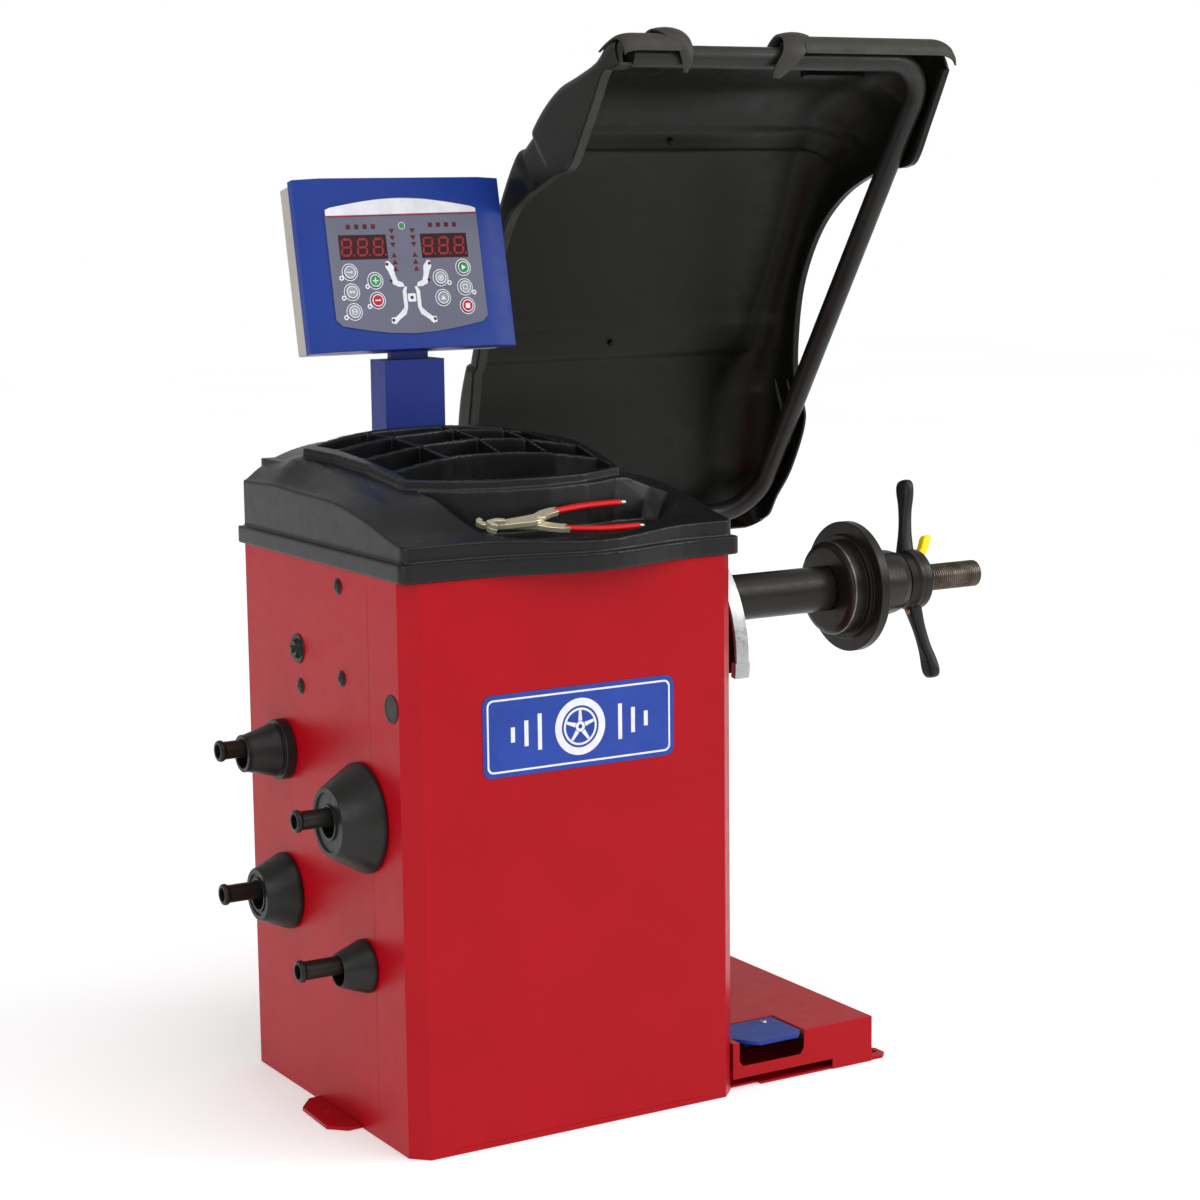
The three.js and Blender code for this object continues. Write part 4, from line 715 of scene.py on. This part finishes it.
def hood_section(t):
    """The shell across the hood, from the left wall's free edge over the roof to the right one's."""
    roof, right, left, inward = hood_row(t)
    if inward.dot(right - roof) < 0:
        inward = -inward
    base = roof + inward * belt_rise(t)
    points = []

    def wall_side(x, edge, fillet, sign, steps):
        """From the wall's free edge up to the roof, round the fillet."""
        reach = (edge - base).length
        down = (edge - base) / reach
        bend = min(fillet, reach * 0.7)
        side = [(x, *(edge + (base + down * bend - edge) * i / steps)) for i in range(steps)]
        for i in range(13):
            angle = math.pi / 2 * i / 12
            place = base + down * bend * (1 - math.sin(angle))
            side.append((x + sign * bend * (1 - math.cos(angle)), *place))
        return side

    points += wall_side(HOOD_LEFT + belt_rise(t), left, 22, 1, 6)
    right_side = wall_side(HOOD_RIGHT, right, 85, -1, 12)
    start, end = points[-1][0], right_side[-1][0]
    for i in range(1, 60):
        x = start + (end - start) * i / 60
        grip = (min(1, max(0, (x - GRIP_GAP[0]) / GRIP_EDGE))
                * min(1, max(0, (GRIP_GAP[1] - x) / GRIP_EDGE)))
        back_to = t + grip * GRIP_CUT * max(0, 1 - t / 4) ** 1.2
        points.append((x, *(hood_row(back_to)[0] + inward * belt_rise(t))))
    return points + right_side[::-1]


def hood_flange():
    """The turned-out edge round the cut-out of the right wall."""
    rows = []
    for i in range(90):
        t = 0.05 + 11.1 * i / 89
        roof, edge, _, _ = hood_row(t)
        run = (hood_row(t + 0.06)[1] - hood_row(max(t - 0.06, 0))[1]).normalized()
        into = Vector((run.y, -run.x))
        if into.dot(roof - edge) < 0:
            into = -into
        profile = [(-5, 9), (-5, 1.5), (-4, 0), (5.5, 0), (6.5, 1.4), (6.5, 4), (1, 5), (1, 9)]
        rows.append([(HOOD_RIGHT + out, *(edge + into * depth)) for out, depth in profile])
    return loft(rows)


def hood_lip(x0, x1, left_drop, right_drop):
    """Part of the roof's front edge, turned down over the grip bar; its ends can droop."""
    rows = []
    bend = 30
    for i in range(61):
        x = x0 + (x1 - x0) * i / 60
        droop = 0
        for drop, away in ((left_drop, x - x0), (right_drop, x1 - x)):
            near = max(0, 1 - away / bend)
            droop += drop * (1 - math.sqrt(1 - near * near))
        rows.append([(x, p.x, p.y - droop) for p in spline(LIP_LINE, 24)])
    return sheet(rows, LIP_WALL)


def hood_ear(line, widths):
    """A flared tab of the lip that wraps the grip bar; its line is given by x, y and z."""
    places, halves = spline(line, 48), spline([(w, 0) for w in widths], 48)
    rows = []
    for place, half in zip(places, halves):
        rows.append([(place.x + half.x * u, place.y + 2 * u * u, place.z - 0.14 * half.x * u * u)
                     for u in [k / 8 - 1 for k in range(17)]])
    return sheet(rows, LIP_WALL)


def hood_left_edge():
    """The turned-in lip down the free edge of the left wall, widest at the top."""
    rows = []
    for i in range(110):
        t = 0.1 + 13.4 * i / 109
        roof, _, edge, _ = hood_row(t)
        into = (roof - edge).normalized()
        x = HOOD_LEFT + belt_rise(t)
        width = 14 + 30 * max(0, 1 - t / 2.2) ** 2
        profile = [(-0.5, -1), (width - 1, -1), (width, 0), (width, 2), (width - 1, 3), (-0.5, 3)]
        rows.append([(x + out, *(edge + into * depth)) for out, depth in profile])
    return loft(rows)


def hood():
    """The moulded shell with its flange, lip, ears, belt screws and two ribs low on the right."""
    steps, last = 220, len(HOOD_SECTIONS) - 1
    rows = [hood_section(last * i / steps) for i in range(steps + 1)]
    shell = Piece()
    shell.add(sheet(rows, HOOD_WALL))
    shell.add(hood_flange())
    # The lip, the left edge and the ears take the lighter copy of the hood plastic, a painted highlight.
    shell.add(hood_lip(206.5, 302, 7, 0), 1)
    shell.add(hood_lip(508, 776, 0, 14), 1)
    shell.add(hood_left_edge(), 1)
    for line, widths in EARS:
        shell.add(hood_ear(line, widths), 1)
    slot_turn = Matrix.Translation((630, 62, 1405.5)) @ Matrix.Rotation(math.radians(-18), 4, "X")
    shell.add(prism([rounded(-56, 56, -8, 8, 8, 8)], -3, 3, on_z), 0, slot_turn)
    head = [(-1, 0), (-1, 5), (1.2, 5), (2, 4.2), (2.1, 2), (1.2, 1.8), (1.2, 0)]
    for (low, high), x in zip(HOOD_BELTS, BELT_SCREWS):
        roof, _, _, inward = hood_row((low + high) / 2)
        if inward.dot(hood_row(low)[1] - roof) < 0:
            inward = -inward
        centre = roof + inward * (BELT_DEPTH + HOOD_WALL)
        facing = Vector((0, *inward)).to_track_quat("Z", "Y").to_matrix().to_4x4()
        shell.add(lathe(head, (0, 0), "z", 24), 0, Matrix.Translation((x, *centre)) @ facing)
    for offset in (0, 14):
        path = [(755 - offset, *(hood_row(t)[1] + Vector((10 + offset, 0))))
                for t in (10.9, 11.3, 11.7, 12.1, 12.5)]
        shell.add(tube(path, [1.5, 3.2, 3.6, 3.2, 1.2], 16))
    shell.make("hood_moulding", "hood", "hood_plastic", [HOOD, HOOD_PAINTED_HIGHLIGHT], ["hood_shell"], sharp=40)


hood()


def bent_path(corners, bend, steps=14):
    """A path through corners, each rounded to the bend's radius."""
    corners = [Vector(c) for c in corners]
    path = [corners[0]]
    for before, here, after in zip(corners, corners[1:], corners[2:]):
        a, b = (before - here).normalized(), (after - here).normalized()
        half = a.angle(b) / 2
        reach = bend / math.tan(half)
        centre = here + (a + b).normalized() * (bend / math.sin(half))
        start, end = (here + a * reach - centre).normalized(), (here + b * reach - centre).normalized()
        for i in range(steps + 1):
            path.append(centre + start.slerp(end, i / steps) * bend)
    return path + [corners[-1]]


frame_corners = [(88, 448, 713), (745, 448, 713), (745, -20, 1424), (226, -20, 1424)]
Piece().add(tube(bent_path(frame_corners, 75), 16, 40)
            ).make("frame_tube", "hood", "hood_plastic", [FRAME_TUBE], ["hood_frame"])

# ---------------- display

KEYS = {
    "key_wheel_distance": (-96.9, 113), "key_wheel_width": (-96.9, 84.4),
    "key_wheel_diameter": (-96.3, 56), "key_plus": (-58.1, 99.8), "key_minus": (-57.7, 71.3),
    "key_mode": (47.2, 101.4), "key_function": (47.7, 72.2), "key_start": (85.9, 115.6),
    "key_calibrate": (85.5, 86.8), "key_stop": (86.2, 59.3),
}
KEY_COLOURS = {"key_plus": KEY_GREEN, "key_start": KEY_GREEN, "key_minus": KEY_RED,
               "key_stop": KEY_RED}


def key_mark(name):
    """Loops of the plain mark on a key, round its own centre."""
    bar = rounded(-4.6, 4.6, -0.9, 0.9, 0.6, 3)
    upright = [(v, u) for u, v in bar]
    left, right = [(-5, 0), (-2, 2.4), (-2, -2.4)], [(5, 0), (2, -2.4), (2, 2.4)]
    return {
        "key_wheel_distance": [[bar], [right]],
        "key_wheel_width": [[left], [right], [rounded(-2, 2, -0.6, 0.6, 0.3, 2)]],
        "key_wheel_diameter": [[circle(0, 0, 4.6), circle(0, 0, 3.5)],
                               [rounded(-3.5, 3.5, -0.5, 0.5, 0.3, 2)]],
        "key_plus": [[bar], [upright]],
        "key_minus": [[bar]],
        "key_mode": [[circle(0, 0, 4.4), circle(0, 0, 3.2)], [circle(0, 0, 1.6)]],
        "key_function": [[[(-4, -3), (4, -3), (0, 4)]]],
        "key_start": [[[(-2.8, -4), (4.4, 0), (-2.8, 4)]]],
        "key_calibrate": [[rounded(-4, 4, -4, 4, 0.8, 3), rounded(-2.8, 2.8, -2.8, 2.8, 0.5, 3)]],
        "key_stop": [[rounded(-3.6, 3.6, -3.6, 3.6, 0.6, 3)]],
    }[name]


for name, (x, y) in KEYS.items():
    cap = Piece()

    def turned_key(profile, x=x, y=y):
        points, faces = lathe(profile, (x, y), "z", 48)
        return [on_head(*p) for p in points], faces

    cap.add(turned_key([(-5, 0), (-5, 10.9), (-1, 10.9), (-1, 9.6), (2.6, 9.6), (3.2, 9.1)]))
    cap.add(turned_key([(3.2, 9.1), (3.4, 8.7), (3.4, 7.9), (3.2, 7.6)]), 1)
    cap.add(turned_key([(3.2, 7.6), (2.9, 7.2), (2.9, 0)]))
    for loops in key_mark(name):
        cap.add(prism([[(x + u, y + v) for u, v in loop] for loop in loops], 2.85, 3.05, on_head), 1)
    colour = KEY_COLOURS.get(name, KEY_GREY)
    slot = {KEY_GREEN: "key_green", KEY_RED: "key_red"}.get(colour, "key_plastic")
    cap.make(name + "_cap", name, slot, [colour, WHITE_PRINT], [name])


def led_window(name, left, right):
    """A dark window with three digits of seven segments and a point each."""
    window = Piece()
    bottom, top, face = 131.1, 166, 1.4
    window.add(prism([rounded(left + 0.3, right - 0.3, bottom, top, 1.2, 4)], -4, face, on_head))
    pitch = (right - left) / 3
    for digit in range(3):
        cx, cy, w, h, t = left + pitch * (digit + 0.46), 148.6, 7.0, 11.6, 1.5
        slant, near = 0.1, 0.6

        def segment(x0, y0, x1, y1):
            dx, dy = x1 - x0, y1 - y0
            length = math.hypot(dx, dy)
            ux, uy = dx / length, dy / length
            far = length - near
            corners = [(near, 0), (near + t, t), (far - t, t), (far, 0), (far - t, -t), (near + t, -t)]
            loop = [(x0 + ux * a - uy * b, y0 + uy * a + ux * b) for a, b in corners]
            return [(cx + u + slant * v, cy + v) for u, v in loop]

        bars = [(-w, h, w, h), (-w, 0, w, 0), (-w, -h, w, -h), (-w, 0, -w, h), (w, 0, w, h),
                (-w, -h, -w, 0), (w, -h, w, 0)]
        for bar in bars:
            window.add(prism([segment(*bar)], face - 0.1, face + 0.12, on_head), 1)
        window.add(prism([circle(cx + w + 3.4, cy - h, 1.5, 16)], face - 0.1, face + 0.12, on_head), 1)
    window.make(name + "_digits", "machine", "led_window", [WINDOW, DIGIT], [name])


led_window("led_window_left", -109, -33.3)
led_window("led_window_right", 21.4, 97)


def fascia_print():
    """The printing on the film: a white header, a red rule, lamps, arrows and a wheel in section."""
    low, high = FILM_TOP - 0.1, FILM_TOP + 0.12
    marks = Piece()

    def mark(loops, finish_index, rise=0.0):
        marks.add(prism(loops, low, high + rise, on_head), finish_index)

    bow = [(108 - 226 * i / 16, 206 + 12.6 * math.sin(math.pi * i / 16)) for i in range(17)]
    mark([[(-125, 194.6), (117, 197.4), (117, 203), *bow, (-125, 203)]], 0)
    mark([[(-125, 191.8), (117, 194.6), (117, 196.4), (-125, 193.6)]], 1)
    for x in (-91.8, -78.4, -65.3, -52):
        mark([rounded(x - 3.4, x + 3.4, 174.6, 181.4, 0.8, 3)], 2)
    for x in (39.7, 52.7, 66, 79.2):
        mark([rounded(x - 3.4, x + 3.4, 175.6, 182.4, 0.8, 3)], 2)
    mark([circle(-6.3, 178.5, 3.4)], 3)
    mark([circle(-6.3, 178.5, 5.4), circle(-6.3, 178.5, 4.6)], 0)
    for x in (-23.5, 10):
        for y in (171, 161, 151):
            mark([[(x - 4.6, y + 3.4), (x + 4.6, y + 3.4), (x, y - 4)]], 2)
        for y in (136, 126, 116):
            mark([[(x - 4.6, y - 3.4), (x + 4.6, y - 3.4), (x, y + 4)]], 2)
    for x, y in ((-110.7, 104.9), (-110.3, 76.3), (-110.1, 48.2), (-71.2, 91.7), (-71.3, 63),
                 (60.9, 93.8), (99.7, 78.7)):
        mark([circle(x, y, 3.6)], 0)
        mark([circle(x, y, 1.5, 16)], 2, 0.05)
    for x, y in KEYS.values():
        mark([circle(x, y, 12.6, 40), circle(x, y, 11.4, 40)], 0)
    for side in (-1, 1):
        def place(loop, side=side):
            return [(-2.5 + side * u, v) for u, v in loop]
        mark([place([(12, 96), (20, 99), (23, 108), (24, 120), (31, 128), (36, 127), (37, 119),
                     (33, 112), (30, 104), (28, 94), (19, 90), (10, 90)])], 0)
        mark([place([(10, 90), (14, 84), (14, 60), (22, 52), (30, 46), (36, 46), (37, 38), (30, 36),
                     (24, 42), (12, 50), (8, 60), (8, 84), (6, 90)])], 0)
        for u, v in ((34, 123), (30.5, 99), (33.5, 42)):
            mark([circle(-2.5 + side * u, v, 2.4, 20)], 2, 0.06)
    mark([rounded(-9, 4, 68, 80, 2, 4)], 0)
    mark([circle(-2.5, 74, 2.6, 20)], 2, 0.06)
    marks.make("fascia_print", "machine", "fascia_film",
               [WHITE_PRINT, RED_PRINT, DARK_PRINT, GREEN_PRINT])


fascia_print()

# ---------------- badge, plugs and screws


def badge():
    """A plain blue plate with a white line round it, and a wheel between two sets of bars."""
    plate = Piece()
    plate.add(prism([rounded(-143, 147, 494, 603, 13, 8)], BADGE_FACE - 1.0, BADGE_FACE, on_y))

    def raised(loops):
        plate.add(prism(loops, BADGE_FACE - 1.2, BADGE_FACE - 0.9, on_y), 1)

    raised([rounded(-137, 141, 500, 597, 9, 8), rounded(-134.4, 138.4, 502.6, 594.4, 7, 8)])
    cx, cz = 2, 548.5
    raised([circle(cx, cz, 38, 64), circle(cx, cz, 28, 64)])
    raised([circle(cx, cz, 25, 48), circle(cx, cz, 22, 48)])
    raised([circle(cx, cz, 7, 32), circle(cx, cz, 3, 24)])
    for i in range(5):
        turn = math.radians(90 + 72 * i)
        c, s = math.cos(turn), math.sin(turn)
        spoke = [(7.5, -3), (21.5, -1.8), (21.5, 1.8), (7.5, 3)]
        raised([[(cx + c * a - s * b, cz + s * a + c * b) for a, b in spoke]])
    for side in (-1, 1):
        for i in range(3):
            half = 24 - 7 * i
            u = 58 + 20 * i
            bar = [(u, -half), (u + 6, -half), (u + 6, half), (u, half)]
            raised([[(cx + side * a, cz + b) for a, b in bar]])
    plate.make("front_badge", "machine", "blue_paint", [BADGE, WHITE_PRINT], bevel=0.12)


badge()


def screw(piece, place, axis, radius):
    """A pan head standing on a face, its cross recess drawn as two dark bars of painted shade."""
    turn = Matrix.Translation(place) @ Vector(axis).to_track_quat("Z", "Y").to_matrix().to_4x4()
    head = [(-0.5, 0), (-0.5, radius), (0.4, radius), (radius * 0.35, radius * 0.8),
            (radius * 0.45, radius * 0.4), (radius * 0.46, 0)]
    piece.add(lathe(head, (0, 0), "z", 32), 0, turn)
    # The cross recess: two flat dark bars across the dome, painted shade rather than a cut.
    for flat in (0, 90):
        slot_turn = turn @ Matrix.Rotation(math.radians(flat), 4, "Z")
        piece.add(block((-radius * 0.5, -radius * 0.09, radius * 0.4),
                        (radius * 0.5, radius * 0.09, radius * 0.48)), 1, slot_turn)


caps = Piece()
washer = [(SIDE_FACE + 0.4, 0), (SIDE_FACE + 0.4, 11), (SIDE_FACE - 0.8, 11), (SIDE_FACE - 1.2, 10.4),
          (SIDE_FACE - 1.2, 0)]
for y, z in ((-55, 732), (-60, 610), (71, 580)):
    screw(caps, (SIDE_FACE, y, z), (-1, 0, 0), 9)
    caps.add(lathe(washer, (y, z), segments=40))
stepped_cap = [(-250.6, 0), (-250.6, 20.5), (-252.2, 20.5), (-253, 19.8), (-253, 14), (-256, 12.4),
               (-258.6, 12), (-259.2, 11.2), (-259.2, 5.6), (-262, 4.8), (-262.8, 3.8), (-262.8, 0)]
caps.add(lathe(stepped_cap, (77, 631), segments=48), 2)
flat_plug = [(-250.6, 0), (-250.6, 18.7), (-251.8, 18.7), (-252.4, 18), (-252.5, 15.6), (-252, 15.2),
             (-252, 0)]
caps.add(lathe(flat_plug, (-205, 592), segments=48), 2)
caps.make("side_caps", "machine", "black_plastic", [STEEL_DARK, RECESS_SHADE, PLASTIC])

seam = Piece()
seam.add(block((-140.5, 12, 250.95), (-139.9, 744, 251.12), lambda u, v, w: (-w, u, v)))
seam.make("side_seam", "machine", "red_paint", [SEAM])

fixings = Piece()
for x, y, z in ((-229, -204, 808.6), (235, -206, 806.6)):
    screw(fixings, (x, y, z), (0, 0, 1), 4.2)
screw(fixings, (346, -167, 66), (0, 0, 1), 5)
for x in (-206, 206):
    for z in (54, 290, 526):
        screw(fixings, (x, 249.8, z), (0, 1, 0), 4)
fixings.make("fixing_screws", "machine", "bright_steel", [ZINC, RECESS_SHADE])

# ---------------- studio

# Each softbox has its place, the point it faces, its width and height, and its power.
SOFTBOXES = {
    "left_softbox": ((-4.2, -2.2, 2.4), (0, 0, 0.7), (2.2, 2.6), 60),
    "right_softbox": ((3.6, -2.4, 2.6), (0.3, 0, 0.8), (1.4, 2.4), 60),
}
OVERHEAD = {"energy": 1.25, "spread": 70, "direction": (-0.3, 0.75, -1.15)}
BACKDROP_LIGHT, BACKDROP_SEEN = 0.5, 1.0
FLOOR_REACH, FLOOR_DROP, FLOOR_GLOW = 14, 0.0006, 0.26


def area_light(name, place, target, size, power):
    lamp = bpy.data.lights.new(name, "AREA")
    lamp.shape = "RECTANGLE"
    lamp.size, lamp.size_y = size
    lamp.energy = power
    obj = bpy.data.objects.new(name, lamp)
    obj.location = place
    obj.rotation_mode = "QUATERNION"
    obj.rotation_quaternion = (Vector(target) - Vector(place)).to_track_quat("-Z", "Y")
    bpy.context.scene.collection.objects.link(obj)


for name, softbox in SOFTBOXES.items():
    area_light(name, *softbox)

sky = bpy.data.lights.new("overhead_softlight", "SUN")
sky.energy = OVERHEAD["energy"]
sky.angle = math.radians(OVERHEAD["spread"])
sky_lamp = bpy.data.objects.new("overhead_softlight", sky)
sky_lamp.rotation_mode = "QUATERNION"
sky_lamp.rotation_quaternion = Vector(OVERHEAD["direction"]).to_track_quat("-Z", "Y")
bpy.context.scene.collection.objects.link(sky_lamp)

# The backdrop is white; the light that it gives the machine is softer than it looks.
world = bpy.data.worlds.new("studio_world")
world.use_nodes = True
world_nodes, world_links = world.node_tree.nodes, world.node_tree.links
world_nodes["Background"].inputs["Color"].default_value = (1, 1, 1, 1)
seen = world_nodes.new("ShaderNodeLightPath")
strength = world_nodes.new("ShaderNodeMapRange")
strength.inputs["To Min"].default_value = BACKDROP_LIGHT
strength.inputs["To Max"].default_value = BACKDROP_SEEN
world_links.new(seen.outputs["Is Camera Ray"], strength.inputs["Value"])
world_links.new(strength.outputs["Result"], world_nodes["Background"].inputs["Strength"])
bpy.context.scene.world = world
bpy.context.scene.view_settings.view_transform = "Standard"

floor_mesh = bpy.data.meshes.new("studio_floor")
floor_corners = [(-1, -1), (1, -1), (1, 1), (-1, 1)]
floor_mesh.from_pydata([(x * FLOOR_REACH, y * FLOOR_REACH, -FLOOR_DROP) for x, y in floor_corners], [],
                       [(0, 1, 2, 3)])
floor_mesh.materials.append(FLOOR)
floor_inputs = FLOOR.node_tree.nodes["Principled BSDF"].inputs
floor_inputs["Emission Color"].default_value = (1, 1, 1, 1)
floor_inputs["Emission Strength"].default_value = FLOOR_GLOW
floor = bpy.data.objects.new("studio_floor", floor_mesh)
bpy.context.scene.collection.objects.link(floor)

# The camera's direction from azimuth and elevation round the machine, with a slight roll.
azimuth, elevation, roll = (math.radians(CAMERA[angle]) for angle in ("azimuth", "elevation", "roll"))
back = Vector((math.sin(azimuth) * math.cos(elevation), -math.cos(azimuth) * math.cos(elevation),
               math.sin(elevation)))
right = Vector((0, 0, 1)).cross(back).normalized()
up = back.cross(right)
right, up = (right * math.cos(roll) + up * math.sin(roll),
             up * math.cos(roll) - right * math.sin(roll))
camera_data = bpy.data.cameras.new("camera")
camera_data.sensor_width = 36
camera_data.lens = CAMERA["lens"]
camera_data.clip_end = 60
camera = bpy.data.objects.new("camera", camera_data)
camera.location = Vector(CAMERA["place"]) * MM
camera.rotation_mode = "QUATERNION"
camera.rotation_quaternion = Matrix((right, up, back)).transposed().to_quaternion()
bpy.context.scene.collection.objects.link(camera)
bpy.context.scene.camera = camera
